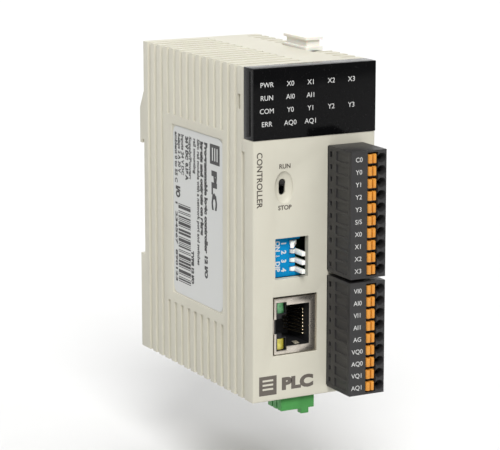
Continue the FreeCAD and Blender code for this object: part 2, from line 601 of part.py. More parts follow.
def supply_plug():
    """The green supply header in the floor, its plug and the three clamp screws."""
    back = "supply_front + supply_deep"
    left, right = "supply_x - supply_half", "supply_x + supply_half"
    floor = "-height/2"
    socket = box("supply_header_block", (f"{left} + 0.1", f"{right} - 0.1"),
                 ("supply_front + 0.5", f"{back} - 0.1"),
                 (f"{floor} + 0.1", f"{floor} + 9.5"))
    hollow = box("supply_header_hollow", (f"{left} + 0.8", f"{right} - 0.8"),
                 ("supply_front + 1.1", f"{back} - 0.8"), (f"{floor} - 1", f"{floor} + 7.6"))
    head = box("supply_head", (left, right), ("supply_front", back), ("supply_low", f"{floor} - 0.15"))
    tail = box("supply_tail_block", (f"{left} + 1", f"{right} - 1"), ("supply_front + 1.3", f"{back} - 1"),
               (f"{floor} - 0.5", f"{floor} + supply_tail"))
    key = box("supply_key", ("supply_x + 1.1", "supply_x + 3.6"), ("supply_front", "supply_front + 2.2"),
              ("supply_low - 1.5", "supply_low + 0.5"))
    pin_y = "supply_front + 3.6"
    poles = [f"supply_x + ({index} - 1) * pitch" for index in range(SUPPLY_COUNT)]
    tools = []
    pin_holes = []
    pins = []
    for index, x in enumerate(poles):
        side = (f"{x} - 0.5", f"{x} + 0.5")
        pin_x = (f"{x} - pin_side/2", f"{x} + pin_side/2")
        pin_deep = (f"{pin_y} - pin_side/2", f"{pin_y} + pin_side/2")
        tools += [
            box(f"supply_wire_way_{index}", (f"{x} - 1.2", f"{x} + 1.2"),
                ("supply_front + 2.6", "supply_front + 5"),
                ("supply_low - 1", "supply_low + 3.2")),
            box(f"supply_pin_way_{index}", (f"{x} - 0.7", f"{x} + 0.7"),
                (f"{pin_y} - 0.7", f"{pin_y} + 0.7"),
                (f"{floor} + 0.6", f"{floor} + 8")),
            cylinder(f"supply_screw_way_{index}", (x, f"{back} - 2.3", "screw_z"), "screw_radius + 0.15",
                     "3", "Y"),
        ]
        pin_holes.append(box(f"supply_pin_hole_{index}", pin_x, pin_deep,
                             (f"{floor} + 5", f"{floor} + 11")))
        pins.append(box(f"supply_pin_{index}", pin_x, pin_deep, (f"{floor} + 1.4", f"{floor} + 10.6")))
        screw = cylinder(f"supply_screw_{index}", (x, f"{back} - 2.2", "screw_z"), "screw_radius", "1.9",
                         "Y")
        blade_slot = box(f"supply_blade_slot_{index}", (side[0], side[1]), (f"{back} - 1.1", f"{back}"),
                         ("screw_z - screw_radius - 1", "screw_z + screw_radius + 1"))
        node(f"power_screw_{index + 1}", cut(f"power_screw_{index + 1}", screw, [blade_slot]))
    for index in range(2):
        step = ("supply_front + 2.3", "supply_front + 4.9")[index]
        for side, xs in (("left", (f"{left} - 1", f"{left} + 0.4")),
                         ("right", (f"{right} - 0.4", f"{right} + 1"))):
            tools.append(box(f"supply_nick_{side}_{index}", xs, (step, f"{step} + 0.6"),
                             ("supply_low - 1", f"{floor} - 0.6")))
    node("power_header", cut("power_header", socket, [hollow] + pin_holes))
    node("power_header_pins", group("power_header_pins", pins))
    node("power_plug_body", cut("power_plug_body", fuse("supply_solid", [head, tail, key]), tools))


def check():
    """Stops on any failed object or any piece that isn't a valid closed shape."""
    doc.recompute()
    failed = [obj.Name for obj in doc.Objects if {"Invalid", "Error"} & set(obj.State)]
    if failed:
        raise RuntimeError(f"failed objects: {failed}")
    for obj in nodes:
        if obj.Shape.isNull() or not obj.Shape.isValid() or not obj.Shape.Solids:
            raise RuntimeError(f"bad shape: {obj.Label}")


def export():
    os.makedirs("parts", exist_ok=True)
    for obj in nodes:
        obj.Shape.exportStep(os.path.join("parts", f"{obj.Label}.step"))
    print(f"{len(nodes)} sub-parts written")


rear_housing()
front_cover()
indicator_window()
light_guide()
rating_label()
din_latch()
module_lock("top_module_lock", 1)
module_lock("bottom_module_lock", -1)
boards()
board_parts()
mode_switch()
dip_switch()
network_jack()
for side, top_cell, poles in (("upper", "upper_top", UPPER_COUNT), ("lower", "lower_top", LOWER_COUNT)):
    header(side, top_cell, poles)
    terminal_plug(side, top_cell, poles)
supply_plug()
check()
export()
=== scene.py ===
"""Looks of a slim rail-mounted controller module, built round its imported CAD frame.

Lengths are millimetres in the frame's own axes: +Z up, -Y out of the front panel and +X to
the right of a person who faces it. Most places are worked out from the CAD nodes' boxes.
"""

import logging
import math
from dataclasses import dataclass
from enum import Enum
from typing import Callable, Iterable, Sequence, Union

import bpy
from mathutils import Matrix, Vector


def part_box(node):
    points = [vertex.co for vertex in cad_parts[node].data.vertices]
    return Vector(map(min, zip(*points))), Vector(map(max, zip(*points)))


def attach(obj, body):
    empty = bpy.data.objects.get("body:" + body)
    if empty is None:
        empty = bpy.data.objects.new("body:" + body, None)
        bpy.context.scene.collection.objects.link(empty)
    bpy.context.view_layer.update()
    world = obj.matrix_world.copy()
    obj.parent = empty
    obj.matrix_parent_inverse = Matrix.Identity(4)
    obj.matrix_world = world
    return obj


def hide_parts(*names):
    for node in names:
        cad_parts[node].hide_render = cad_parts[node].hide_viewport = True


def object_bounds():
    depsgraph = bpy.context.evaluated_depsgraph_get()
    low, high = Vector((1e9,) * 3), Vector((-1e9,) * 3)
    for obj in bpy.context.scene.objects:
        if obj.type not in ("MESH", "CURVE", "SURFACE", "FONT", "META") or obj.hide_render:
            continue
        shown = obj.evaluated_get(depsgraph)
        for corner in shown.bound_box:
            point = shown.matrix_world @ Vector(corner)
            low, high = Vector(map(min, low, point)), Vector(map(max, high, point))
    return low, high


MM = 0.001
LOG = logging.getLogger("controller_module")
Number = Union[float, "Wire"]
Point = Sequence[float]
Rule = Callable[[Vector, Vector], bool]
Piece = bpy.types.Object
Colour = tuple[float, float, float, float]
NEAR = 0.01  # how close two places are to count as the same
CLEAR = 1.0  # how far a cutting block stands out of what it cuts
CREASE = math.radians(32)  # edges that turn less than this stay unrounded
SOFT_CREASE = math.radians(40)  # the same for pieces with round faces of few flats
PRINT = 0.015  # half the thickness of printed lettering
RIDGE_INSET = 0.002  # how far a button's ridge stops short of its ends

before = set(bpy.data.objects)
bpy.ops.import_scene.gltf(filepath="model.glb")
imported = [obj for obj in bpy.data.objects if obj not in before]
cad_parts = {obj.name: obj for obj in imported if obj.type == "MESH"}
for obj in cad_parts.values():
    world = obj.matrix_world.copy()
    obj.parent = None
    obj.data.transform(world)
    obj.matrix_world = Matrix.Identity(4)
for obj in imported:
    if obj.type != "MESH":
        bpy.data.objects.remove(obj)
cad_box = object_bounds()


class Side(Enum):
    """The ways that a flat face can look."""

    FRONT = (0, -1, 0)
    BACK = (0, 1, 0)
    LEFT = (-1, 0, 0)
    TOP = (0, 0, 1)

    @property
    def way(self) -> Vector:
        """The direction as a vector."""
        return Vector(self.value)


class Reading(Enum):
    """How a line of print runs on its face, as a turn in degrees about the face's normal."""

    LEVEL = 0
    DOWNWARD = 90


def box_of(node: str) -> tuple[Vector, Vector]:
    """The corners of a CAD node at rest.

    Args:
        node: The node's name.

    Returns:
        Its lowest and highest corner in millimetres.
    """
    low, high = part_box(node)
    return low / MM, high / MM


def tone(red: int, green: int, blue: int) -> Colour:
    """A colour from its display values.

    Args:
        red: Red from 0 to 255.
        green: Green from 0 to 255.
        blue: Blue from 0 to 255.

    Returns:
        The same colour as linear red, green, blue and an alpha of one.
    """
    linear = [((v / 255 + 0.055) / 1.055) ** 2.4 if v > 10 else v / 255 / 12.92 for v in (red, green, blue)]
    return (linear[0], linear[1], linear[2], 1.0)


class Wire:
    """A number inside a node tree that does arithmetic with Python's operators."""

    def __init__(self, recipe: "Recipe", socket: bpy.types.NodeSocket) -> None:
        """Keeps the recipe and the output socket that holds the number."""
        self.recipe = recipe
        self.socket = socket

    def _math(self, operation: str, left: Number, right: Number) -> "Wire":
        """One Math node on two numbers."""
        return self.recipe.add("ShaderNodeMath", {"operation": operation}, {0: left, 1: right})

    def __add__(self, other: Number) -> "Wire":
        """self + other."""
        return self._math("ADD", self, other)

    __radd__ = __add__

    def __sub__(self, other: Number) -> "Wire":
        """self - other."""
        return self._math("SUBTRACT", self, other)

    def __mul__(self, other: Number) -> "Wire":
        """self * other."""
        return self._math("MULTIPLY", self, other)

    def __gt__(self, other: Number) -> "Wire":
        """One where self is greater than other, and zero elsewhere."""
        return self._math("GREATER_THAN", self, other)

    def clamped(self) -> "Wire":
        """self kept between zero and one."""
        return self.recipe.add("ShaderNodeClamp", {}, {"Value": self})


class Recipe:
    """A material under construction: one Principled shader and the nodes that feed it."""

    def __init__(self, name: str) -> None:
        """Starts an empty material of that name."""
        self.material = bpy.data.materials.new(name)
        self.material.use_nodes = True
        self.tree = self.material.node_tree
        self.tree.nodes.clear()
        output = self.tree.nodes.new("ShaderNodeOutputMaterial")
        self.shader = self.tree.nodes.new("ShaderNodeBsdfPrincipled")
        self.tree.links.new(self.shader.outputs[0], output.inputs[0])

    def add(self, kind: str, settings: dict, values: dict, output: Union[int, str] = 0) -> Wire:
        """Adds one node.

        Args:
            kind: The node's type.
            settings: Its properties, which are set first.
            values: What goes into its sockets, as numbers, colours, vectors or wires.
            output: The socket that the result is read from.

        Returns:
            The wire from that socket.
        """
        node = self.tree.nodes.new(kind)
        for key, value in settings.items():
            setattr(node, key, value)
        for key, value in values.items():
            self.feed(node.inputs[key], value)
        return Wire(self, node.outputs[output])

    def feed(self, socket: bpy.types.NodeSocket, value: object) -> None:
        """Links a wire to a socket, or sets a constant on it."""
        if isinstance(value, Wire):
            self.tree.links.new(value.socket, socket)
        else:
            socket.default_value = value

    def place(self, stretch: Point = (1.0, 1.0, 1.0)) -> Wire:
        """The object's own coordinates, in millimetres.

        Args:
            stretch: How many times finer the pattern is along each axis.

        Returns:
            The wire that carries the vector.
        """
        spot = self.add("ShaderNodeTexCoord", {}, {}, "Object")
        scale = tuple(s / MM for s in stretch)
        return self.add("ShaderNodeMapping", {}, {"Vector": spot, "Scale": scale})

    def noise(self, spot: Wire, size: float, detail: float = 2.0, rough: float = 0.5) -> Wire:
        """Soft cloudy noise.

        Args:
            spot: The vector it is read at.
            size: The width of its patches in millimetres.
            detail: How many finer layers it has.
            rough: How strong those layers are.

        Returns:
            A number about one half.
        """
        values = {"Vector": spot, "Scale": 1 / size, "Detail": detail, "Roughness": rough}
        return self.add("ShaderNodeTexNoise", {}, values)

    def cells(self, spot: Wire, size: float) -> Wire:
        """The distance to the nearest of many scattered points, for a sparked or cast grain."""
        return self.add("ShaderNodeTexVoronoi", {}, {"Vector": spot, "Scale": 1 / size})

    def blend(self, share: Number, first: Point, second: Union[Point, Wire]) -> Wire:
        """The first colour turning to the second as share goes from zero to one."""
        node = self.tree.nodes.new("ShaderNodeMix")
        node.data_type = "RGBA"
        self.feed(node.inputs[0], share)
        self.feed(node.inputs[6], first)
        self.feed(node.inputs[7], second)
        return Wire(self, node.outputs[2])

    def relief(self, height: Wire, depth: float, strength: float = 1.0) -> None:
        """Feeds a bump to the shader.

        Args:
            height: The pattern, from zero to one.
            depth: How deep it is, in millimetres.
            strength: How much of it shows.
        """
        values = {"Height": height, "Distance": depth * MM, "Strength": strength}
        self.feed(self.shader.inputs["Normal"], self.add("ShaderNodeBump", {}, values))

    def dress(self, **values: object) -> bpy.types.Material:
        """Sets the shader's sockets by name, with underscores for spaces, and gives the material."""
        for name, value in values.items():
            self.feed(self.shader.inputs[name.replace("_", " ").title().replace("Ior", "IOR")], value)
        return self.material


@dataclass(frozen=True)
class Moulded:
    """Injection-moulded plastic with a sparked grain and a slow drift of colour and sheen."""

    name: str
    colour: Colour
    shadow: Colour
    roughness: tuple[float, float] = (0.42, 0.58)
    grain: float = 0.16
    depth: float = 0.012
    patch: float = 11.0
    coat: float = 0.0
    glow: float = 0.0
    shine: float = 0.45

    def make(self) -> bpy.types.Material:
        """Builds the material."""
        recipe = Recipe(self.name)
        spot = recipe.place()
        drift = recipe.noise(spot, self.patch, 4.0, 0.6)
        flow = recipe.noise(recipe.place((1.0, 1.0, 0.12)), self.patch * 0.35, 2.0)
        grain = recipe.noise(spot, self.grain, 3.0, 0.6)
        sparks = recipe.cells(spot, self.grain * 1.6)
        share = ((drift - 0.5) * 1.6 + (flow - 0.5) * 0.7 + 0.5).clamped()
        low, high = self.roughness
        recipe.relief(grain * 0.7 + sparks * 0.5, self.depth)
        return recipe.dress(
            base_color=recipe.blend(share, self.shadow, self.colour),
            roughness=low + (grain * 0.6 + drift * 0.4) * (high - low),
            coat_weight=self.coat,
            coat_roughness=0.25,
            subsurface_weight=self.glow,
            subsurface_scale=1.2 * MM,
            specular_ior_level=self.shine,
        )


@dataclass(frozen=True)
class Polished:
    """Glossy plastic with faint moulding waves and a little handling haze."""

    name: str
    colour: Colour
    haze: Colour
    roughness: float = 0.1
    shine: float = 0.5

    def make(self) -> bpy.types.Material:
        """Builds the material."""
        recipe = Recipe(self.name)
        spot = recipe.place()
        waves = recipe.noise(spot, 5.0, 1.5)
        smear = recipe.noise(recipe.place((0.5, 1.0, 1.6)), 3.0, 5.0, 0.65)
        dust = recipe.cells(spot, 0.9) > 0.82
        film = ((smear - 0.45) * 2.2).clamped()
        recipe.relief(waves, 0.03, 0.35)
        return recipe.dress(
            base_color=recipe.blend((film * 0.35 + dust * 0.25).clamped(), self.colour, self.haze),
            roughness=self.roughness + film * 0.12 + dust * 0.2,
            specular_ior_level=self.shine,
        )


@dataclass(frozen=True)
class Metal:
    """Rolled or drawn metal: fine lines one way, blotches of oxide and a soft burnish."""

    name: str
    colour: Colour
    stain: Colour
    lines: tuple[float, float, float] = (1.0, 1.0, 14.0)
    roughness: tuple[float, float] = (0.22, 0.42)
    line_size: float = 1.4

    def make(self) -> bpy.types.Material:
        """Builds the material."""
        recipe = Recipe(self.name)
        brushed = recipe.noise(recipe.place(self.lines), self.line_size, 4.0, 0.7)
        blotch = recipe.noise(recipe.place(), 2.6, 4.0, 0.6)
        stain = ((blotch - 0.48) * 3.0).clamped()
        low, high = self.roughness
        recipe.relief(brushed, 0.01, 0.7)
        return recipe.dress(
            base_color=recipe.blend(stain * 0.7, self.colour, self.stain),
            metallic=1.0,
            roughness=low + (brushed * 0.6 + stain * 0.4) * (high - low),
        )


@dataclass(frozen=True)
class Printed:
    """Ink or label stock: flat colour with a slight tooth and uneven coverage."""

    name: str
    colour: Colour
    thin: Colour
    roughness: float = 0.45

    def make(self) -> bpy.types.Material:
        """Builds the material."""
        recipe = Recipe(self.name)
        spot = recipe.place()
        tooth = recipe.noise(spot, 0.25, 3.0)
        wash = recipe.noise(spot, 7.0, 3.0)
        recipe.relief(tooth, 0.006, 0.6)
        return recipe.dress(
            base_color=recipe.blend((tooth * 0.5 + wash * 0.5).clamped(), self.thin, self.colour),
            roughness=self.roughness + (wash - 0.5) * 0.2,
        )


@dataclass(frozen=True)
class Tinted:
    """A tinted lens over a small chip, deeper and paler in random patches, with a faint painted glow of its
    own colour.
    """

    name: str
    colour: Colour
    core: Colour

    def make(self) -> bpy.types.Material:
        """Builds the material."""
        recipe = Recipe(self.name)
        spot = recipe.place()
        body = recipe.noise(spot, 1.5, 2.0)
        frost = recipe.noise(spot, 0.2, 2.0)
        recipe.relief(frost, 0.01, 0.4)
        shade = recipe.blend(((body - 0.35) * 2.4).clamped(), self.colour, self.core)
        return recipe.dress(
            base_color=shade,
            # Painted glow: the lens gives off a faint light of its own colour.
            emission_color=shade,
            emission_strength=0.06,
            roughness=0.18 + frost * 0.2,
            coat_weight=0.6,
            coat_roughness=0.08,
        )


@dataclass(frozen=True)
class BoardMask:
    """Solder mask over woven glass and copper tracks."""

    name: str = "solder_mask"

    def make(self) -> bpy.types.Material:
        """Builds the material."""
        recipe = Recipe(self.name)
        weave = recipe.noise(recipe.place((1.0, 3.0, 1.0)), 0.5, 2.0)
        flat = recipe.place((0.0, 1.0, 1.0))
        tracks = recipe.add("ShaderNodeTexBrick", {}, {"Vector": flat, "Scale": 0.45}, 1)
        recipe.relief(tracks * 0.7 + weave * 0.3, 0.03, 0.6)
        shade = recipe.blend(tracks, tone(10, 44, 26), tone(18, 66, 38))
        return recipe.dress(
            base_color=shade,
            roughness=0.28 + recipe.noise(recipe.place(), 4.0) * 0.15,
            coat_weight=0.4,
        )


class Palette:
    """Every finish of the module, made once and handed out by name."""

    def __init__(self) -> None:
        """Makes all of the materials."""
        finishes = [
            Moulded("ivory_plastic", tone(199, 196, 181), tone(194, 190, 175), grain=0.2),
            Moulded("plug_plastic", tone(45, 44, 44), tone(37, 36, 37), (0.42, 0.56), 0.18, 0.014),
            Moulded("button_plastic", tone(214, 146, 52), tone(198, 128, 40), (0.32, 0.44), 0.3, 0.006, 4.0,
                    coat=0.1),
            Moulded("supply_plastic", tone(64, 140, 66), tone(50, 122, 54), (0.35, 0.48), 0.22, 0.01, 5.0),
            Moulded("dip_plastic", tone(0, 134, 190), tone(0, 122, 178), (0.4, 0.52), 0.3, 0.006, 4.0,
                    shine=0.12),
            Moulded("lever_plastic", tone(246, 246, 242), tone(236, 236, 230), (0.3, 0.4), 0.3, 0.004, 3.0,
                    glow=0.1),
            Moulded("nylon", tone(232, 230, 222), tone(224, 222, 214), (0.35, 0.48), 0.35, 0.008, 6.0,
                    glow=0.24),
            Moulded("switch_plastic", tone(30, 30, 31), tone(22, 22, 23), (0.35, 0.5), 0.2, 0.01, 3.0),
            Moulded("nub_plastic", tone(52, 50, 48), tone(40, 38, 37), (0.35, 0.5), 0.2, 0.01, 3.0),
            Moulded("relay_plastic", tone(28, 70, 150), tone(24, 60, 130), (0.25, 0.4), 0.3, 0.006, 6.0, 0.2),
            Moulded("chip_epoxy", tone(34, 34, 36), tone(26, 26, 28), (0.45, 0.6), 0.12, 0.012, 3.0),
            Polished("window_plastic", tone(7, 7, 8), tone(13, 12, 12), 0.12, 0.12),
            Polished("clear_plastic", tone(226, 230, 232), tone(240, 242, 242), 0.08),
            Metal("tinned_steel", tone(214, 206, 194), tone(176, 166, 152)),
            # A paler, duller copy of the shield's tinned steel, so the ground finger shows bright: a painted
            # highlight.
            Metal("finger_steel_painted_bright", tone(252, 244, 222), tone(226, 214, 190), (1.0, 1.0, 6.0), (0.5, 0.65)),
            Metal("pin_tin", tone(222, 222, 224), tone(190, 190, 194), (1.0, 8.0, 1.0)),
            Metal("gold_wire", tone(255, 240, 204), tone(246, 216, 160), (1.0, 8.0, 1.0), (0.18, 0.34)),
            Metal("zinc_steel", tone(206, 208, 212), tone(172, 174, 180), (1.0, 1.0, 1.0), (0.25, 0.4)),
            Metal("aluminium_can", tone(220, 222, 226), tone(190, 194, 200), (9.0, 1.0, 1.0), (0.2, 0.36)),
            Printed("label_stock", tone(200, 201, 198), tone(192, 193, 191), 0.34),
            Printed("label_ink", tone(24, 23, 23), tone(44, 42, 41)),
            Printed("panel_ink", tone(84, 77, 70), tone(98, 91, 84)),
            Printed("legend_ink", tone(62, 55, 48), tone(80, 72, 64)),
            Printed("white_ink", tone(214, 214, 211), tone(190, 190, 189)),
            Tinted("green_lens", tone(36, 90, 52), tone(100, 160, 108)),
            Tinted("yellow_lens", tone(136, 124, 32), tone(196, 186, 80)),
            Tinted("lamp_lens", tone(220, 220, 206), tone(246, 246, 236)),
            BoardMask(),
        ]
        self.made = {finish.name: finish.make() for finish in finishes}

    def __getitem__(self, name: str) -> bpy.types.Material:
        """The material of that name."""
        return self.made[name]


class Bench:
    """The modelling moves that every sub-assembly shares."""

    capital = 0.72  # a capital's height as a share of the font's size

    @staticmethod
    def hold(piece: Piece) -> None:
        """Leaves only this piece selected and active."""
        bpy.ops.object.select_all(action="DESELECT")
        piece.select_set(True)
        bpy.context.view_layer.objects.active = piece

    @staticmethod
    def settle(name: str) -> Piece:
        """Names the active object and puts its place into its mesh."""
        piece = bpy.context.active_object
        piece.name = piece.data.name = name
        bpy.ops.object.transform_apply(location=True, rotation=True, scale=True)
        return piece

    @staticmethod
    def block(name: str, low: Point, high: Point) -> Piece:
        """A block between two corners.

        Args:
            name: The piece's name.
            low: Its lowest corner.
            high: Its highest corner.

        Returns:
            The new object.
        """
        bpy.ops.object.select_all(action="DESELECT")
        middle = [(a + b) / 2 * MM for a, b in zip(low, high)]
        bpy.ops.mesh.primitive_cube_add(size=1, location=middle)
        bpy.context.active_object.scale = [(b - a) * MM for a, b in zip(low, high)]
        return Bench.settle(name)

    @staticmethod
    def rod(name: str, start: Point, radius: float, length: float, side: Side, sides: int = 32) -> Piece:
        """A round bar.

        Args:
            name: The piece's name.
            start: The middle of its first end.
            radius: Its radius.
            length: Its length.
            side: The way that it runs from the start.
            sides: How many flats make it round.

        Returns:
            The new object.
        """
        bpy.ops.object.select_all(action="DESELECT")
        middle = (Vector(start) + side.way * (length / 2)) * MM
        bpy.ops.mesh.primitive_cylinder_add(vertices=sides, radius=radius * MM, depth=length * MM,
                                            location=middle)
        bpy.context.active_object.rotation_euler = side.way.to_track_quat("Z", "Y").to_euler()
        return Bench.settle(name)

    @staticmethod
    def lift(node: str, name: str) -> Piece:
        """A clean copy of a CAD node's mesh, its loose triangles joined up.

        Args:
            node: The CAD node.
            name: The copy's name.

        Returns:
            The new object.
        """
        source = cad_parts[node]
        piece = bpy.data.objects.new(name, source.data.copy())
        piece.data.name = name
        bpy.context.scene.collection.objects.link(piece)
        Bench.hold(piece)
        bpy.ops.mesh.customdata_custom_splitnormals_clear()
        bpy.ops.object.mode_set(mode="EDIT")
        bpy.ops.mesh.select_all(action="SELECT")
        bpy.ops.mesh.remove_doubles(threshold=0.002 * MM)
        bpy.ops.object.mode_set(mode="OBJECT")
        return piece

    @staticmethod
    def pick(piece: Piece, rule: Rule) -> None:
        """Enters edit mode with the faces that keep a rule selected.

        Args:
            piece: The object to edit.
            rule: Says yes or no to a face from its centre, in millimetres, and its normal.
        """
        Bench.edit(piece, "FACE")
        Bench.done()
        for face in piece.data.polygons:
            face.select = rule(face.center / MM, face.normal)
        bpy.ops.object.mode_set(mode="EDIT")

    @staticmethod
    def pick_side(piece: Piece, side: Side) -> None:
        """Enters edit mode with the faces furthest out on one side selected."""
        edge = max(point.co.dot(side.way) for point in piece.data.vertices) / MM - NEAR
        Bench.pick(piece, lambda centre, normal: centre.dot(side.way) > edge and normal.dot(side.way) > 0.9)

    @staticmethod
    def inset(width: float) -> None:
        """Insets the selected faces."""
        bpy.ops.mesh.inset(thickness=width * MM, depth=0)

    @staticmethod
    def push(*moves: Point) -> None:
        """Extrudes the selected faces by one move after another."""
        for move in moves:
            bpy.ops.mesh.extrude_region_move(TRANSFORM_OT_translate={"value": Vector(move) * MM})

    @staticmethod
    def stretch(factors: Point) -> None:
        """Scales what is selected about its middle."""
        bpy.ops.transform.resize(value=factors)

    @staticmethod
    def edit(piece: Piece, kind: str) -> None:
        """Enters edit mode on a piece with none of its faces or edges selected."""
        Bench.hold(piece)
        bpy.ops.object.mode_set(mode="EDIT")
        bpy.ops.mesh.select_mode(type=kind)
        bpy.ops.mesh.select_all(action="DESELECT")

    @staticmethod
    def done() -> None:
        """Leaves edit mode."""
        bpy.ops.object.mode_set(mode="OBJECT")

    @staticmethod
    def round_edges(piece: Piece, rule: Rule, width: float, steps: int = 3) -> None:
        """Bevels the edges that keep a rule.

        Args:
            piece: The object to edit.
            rule: Says yes or no to an edge from its two ends, in millimetres.
            width: The bevel's width.
            steps: How many facets it has.
        """
        Bench.edit(piece, "EDGE")
        Bench.done()
        points = piece.data.vertices
        for edge in piece.data.edges:
            edge.select = rule(*(points[i].co / MM for i in edge.vertices))
        bpy.ops.object.mode_set(mode="EDIT")
        bpy.ops.mesh.bevel(offset=width * MM, segments=steps, affect="EDGES", clamp_overlap=True)
        Bench.done()

    @staticmethod
    def combine(piece: Piece, others: Iterable[Piece], operation: str,
                solver: str = "EXACT") -> Piece:
        """Cuts other pieces out of one, or welds them on, and removes them.

        Args:
            piece: The object that stays.
            others: What is cut out or welded on.
            operation: DIFFERENCE or UNION.
            solver: EXACT, or FAST for a cut into a rounded shell.

        Returns:
            The piece.
        """
        for other in others:
            Bench.hold(piece)
            modifier = piece.modifiers.new("combine", "BOOLEAN")
            modifier.operation = operation
            modifier.solver = solver
            modifier.object = other
            bpy.ops.object.modifier_apply(modifier=modifier.name)
            bpy.data.objects.remove(other)
        return piece

    @staticmethod
    def carve(piece: Piece, *tools: Piece) -> Piece:
        """Cuts the tools out of a piece."""
        return Bench.combine(piece, tools, "DIFFERENCE")

    @staticmethod
    def nick(piece: Piece, *tools: Piece) -> None:
        """Cuts small tools out of a piece whose edges are already rounded."""
        Bench.combine(piece, tools, "DIFFERENCE", "FAST")

    @staticmethod
    def weld(piece: Piece, *others: Piece) -> Piece:
        """Welds other pieces onto one."""
        return Bench.combine(piece, others, "UNION")

    @staticmethod
    def twin(piece: Piece, name: str, move: Point) -> Piece:
        """A copy with its own mesh, moved.

        Args:
            piece: The model piece.
            name: The copy's name.
            move: How far the copy stands from it.

        Returns:
            The copy.
        """
        copy = bpy.data.objects.new(name, piece.data.copy())
        copy.data.name = name
        bpy.context.scene.collection.objects.link(copy)
        copy.data.transform(Matrix.Translation(Vector(move) * MM))
        return copy

    @staticmethod
    def join(name: str, pieces: Sequence[Piece]) -> Piece:
        """Joins pieces into one object."""
        Bench.hold(pieces[0])
        for piece in pieces:
            piece.select_set(True)
        bpy.ops.object.join()
        joined = bpy.context.active_object
        joined.name = joined.data.name = name
        return joined

    @staticmethod
    def soften(piece: Piece, width: float, steps: int = 2, crease: float = CREASE) -> Piece:
        """Rounds every sharp edge a little and smooths the shading.

        Args:
            piece: The object to finish.
            width: The radius of the edges, or zero to smooth the shading only.
            steps: How many facets each edge has.
            crease: Edges that turn less than this angle are left.

        Returns:
            The piece.
        """
        Bench.hold(piece)
        if width > 0:
            modifier = piece.modifiers.new("edges", "BEVEL")
            modifier.width = width * MM
            modifier.segments = steps
            modifier.limit_method = "WEIGHT" if "bevel_weight_edge" in piece.data.attributes else "ANGLE"
            modifier.angle_limit = crease
            modifier.use_clamp_overlap = False
            bpy.ops.object.modifier_apply(modifier=modifier.name)
        bpy.ops.object.shade_smooth_by_angle(angle=crease)
        return piece

    @staticmethod
    def favour(piece: Piece, rule: Rule, share: float) -> None:
        """Marks how strongly each sharp edge is to be rounded.

        Args:
            piece: The object to mark.
            rule: Says which edges are rounded fully, from their two ends in millimetres.
            share: How much of the full rounding the other sharp edges get.
        """
        Bench.edit(piece, "EDGE")
        bpy.ops.mesh.edges_select_sharp(sharpness=CREASE)
        Bench.done()
        marks = piece.data.attributes.new("bevel_weight_edge", "FLOAT", "EDGE")
        points = piece.data.vertices
        for edge, mark in zip(piece.data.edges, marks.data):
            if edge.select:
                mark.value = 1.0 if rule(*(points[i].co / MM for i in edge.vertices)) else share

    @staticmethod
    def print_words(words: str, tall: float, spot: Point, side: Side = Side.FRONT,
                    reading: Reading = Reading.LEVEL, bold: float = 0.0, span: float = 0.0,
                    curve: int = 4) -> Piece:
        """A thin raised print of some words.

        Args:
            words: What it says.
            tall: The height of a capital.
            spot: The middle of the print, on the face.
            side: The way the face looks, which is FRONT or LEFT.
            reading: How the line runs.
            bold: How far the strokes are thickened.
            span: The length that the line is stretched to, or zero for its own length.
            curve: How finely the letters' curves are cut.

        Returns:
            The print as a mesh.
        """
        bpy.ops.object.select_all(action="DESELECT")
        bpy.ops.object.text_add()
        piece = bpy.context.active_object
        piece.data.body = words
        piece.data.align_x = "CENTER"
        piece.data.size = tall / Bench.capital * MM
        piece.data.extrude = PRINT * MM
        piece.data.offset = bold * MM
        piece.data.resolution_u = curve
        bpy.ops.object.convert(target="MESH")
        if span > 0:
            piece.data.transform(Matrix.Diagonal((span * MM / piece.dimensions.x, 1, 1, 1)))
        lift = Matrix.Translation((0, -tall / 2 * MM, 0))
        upright = Matrix.Rotation(math.radians(90), 4, "X")
        turn = Matrix.Rotation(math.radians(reading.value), 4, "Y")
        face = Matrix.Rotation(math.radians(-90), 4, "Z") if side is Side.LEFT else Matrix.Identity(4)
        piece.data.transform(Matrix.Translation(Vector(spot) * MM) @ face @ turn @ upright @ lift)
        return piece


@dataclass
class SubAssembly:
    """A group of pieces that ride on one body and are built together."""

    palette: Palette
    body: str = "module"

    def fit(self, piece: Piece, finish: str, slot: str, *nodes: str, body: str = "") -> None:
        """Gives a finished piece its material, its body and the CAD nodes that it stands for.

        Args:
            piece: The finished piece.
            finish: The material's name in the palette.
            slot: Not used.
            nodes: The CAD nodes that it replaces.
            body: The body that it rides on, where that isn't the group's own.
        """
        piece.data.materials.clear()
        piece.data.materials.append(self.palette[finish])
        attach(piece, body or self.body)
        if nodes:
            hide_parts(*nodes)
        LOG.info("%s: %d faces", piece.name, len(piece.data.polygons))

    def mould(self, node: str, name: str, width: float, finish: str, slot: str,
              steps: int = 2, body: str = "") -> None:
        """Fits a copy of a CAD node with rounded edges.

        Args:
            node: The CAD node.
            name: The copy's name.
            width: The radius of its edges.
            finish: The material's name in the palette.
            slot: Not used; only passed on to fit.
            steps: How many facets each edge has.
            body: The body that it rides on, where that isn't the group's own.
        """
        self.fit(Bench.soften(Bench.lift(node, name), width, steps), finish, slot, node, body=body)

    def build(self) -> None:
        """Builds every piece of the group."""
        raise NotImplementedError


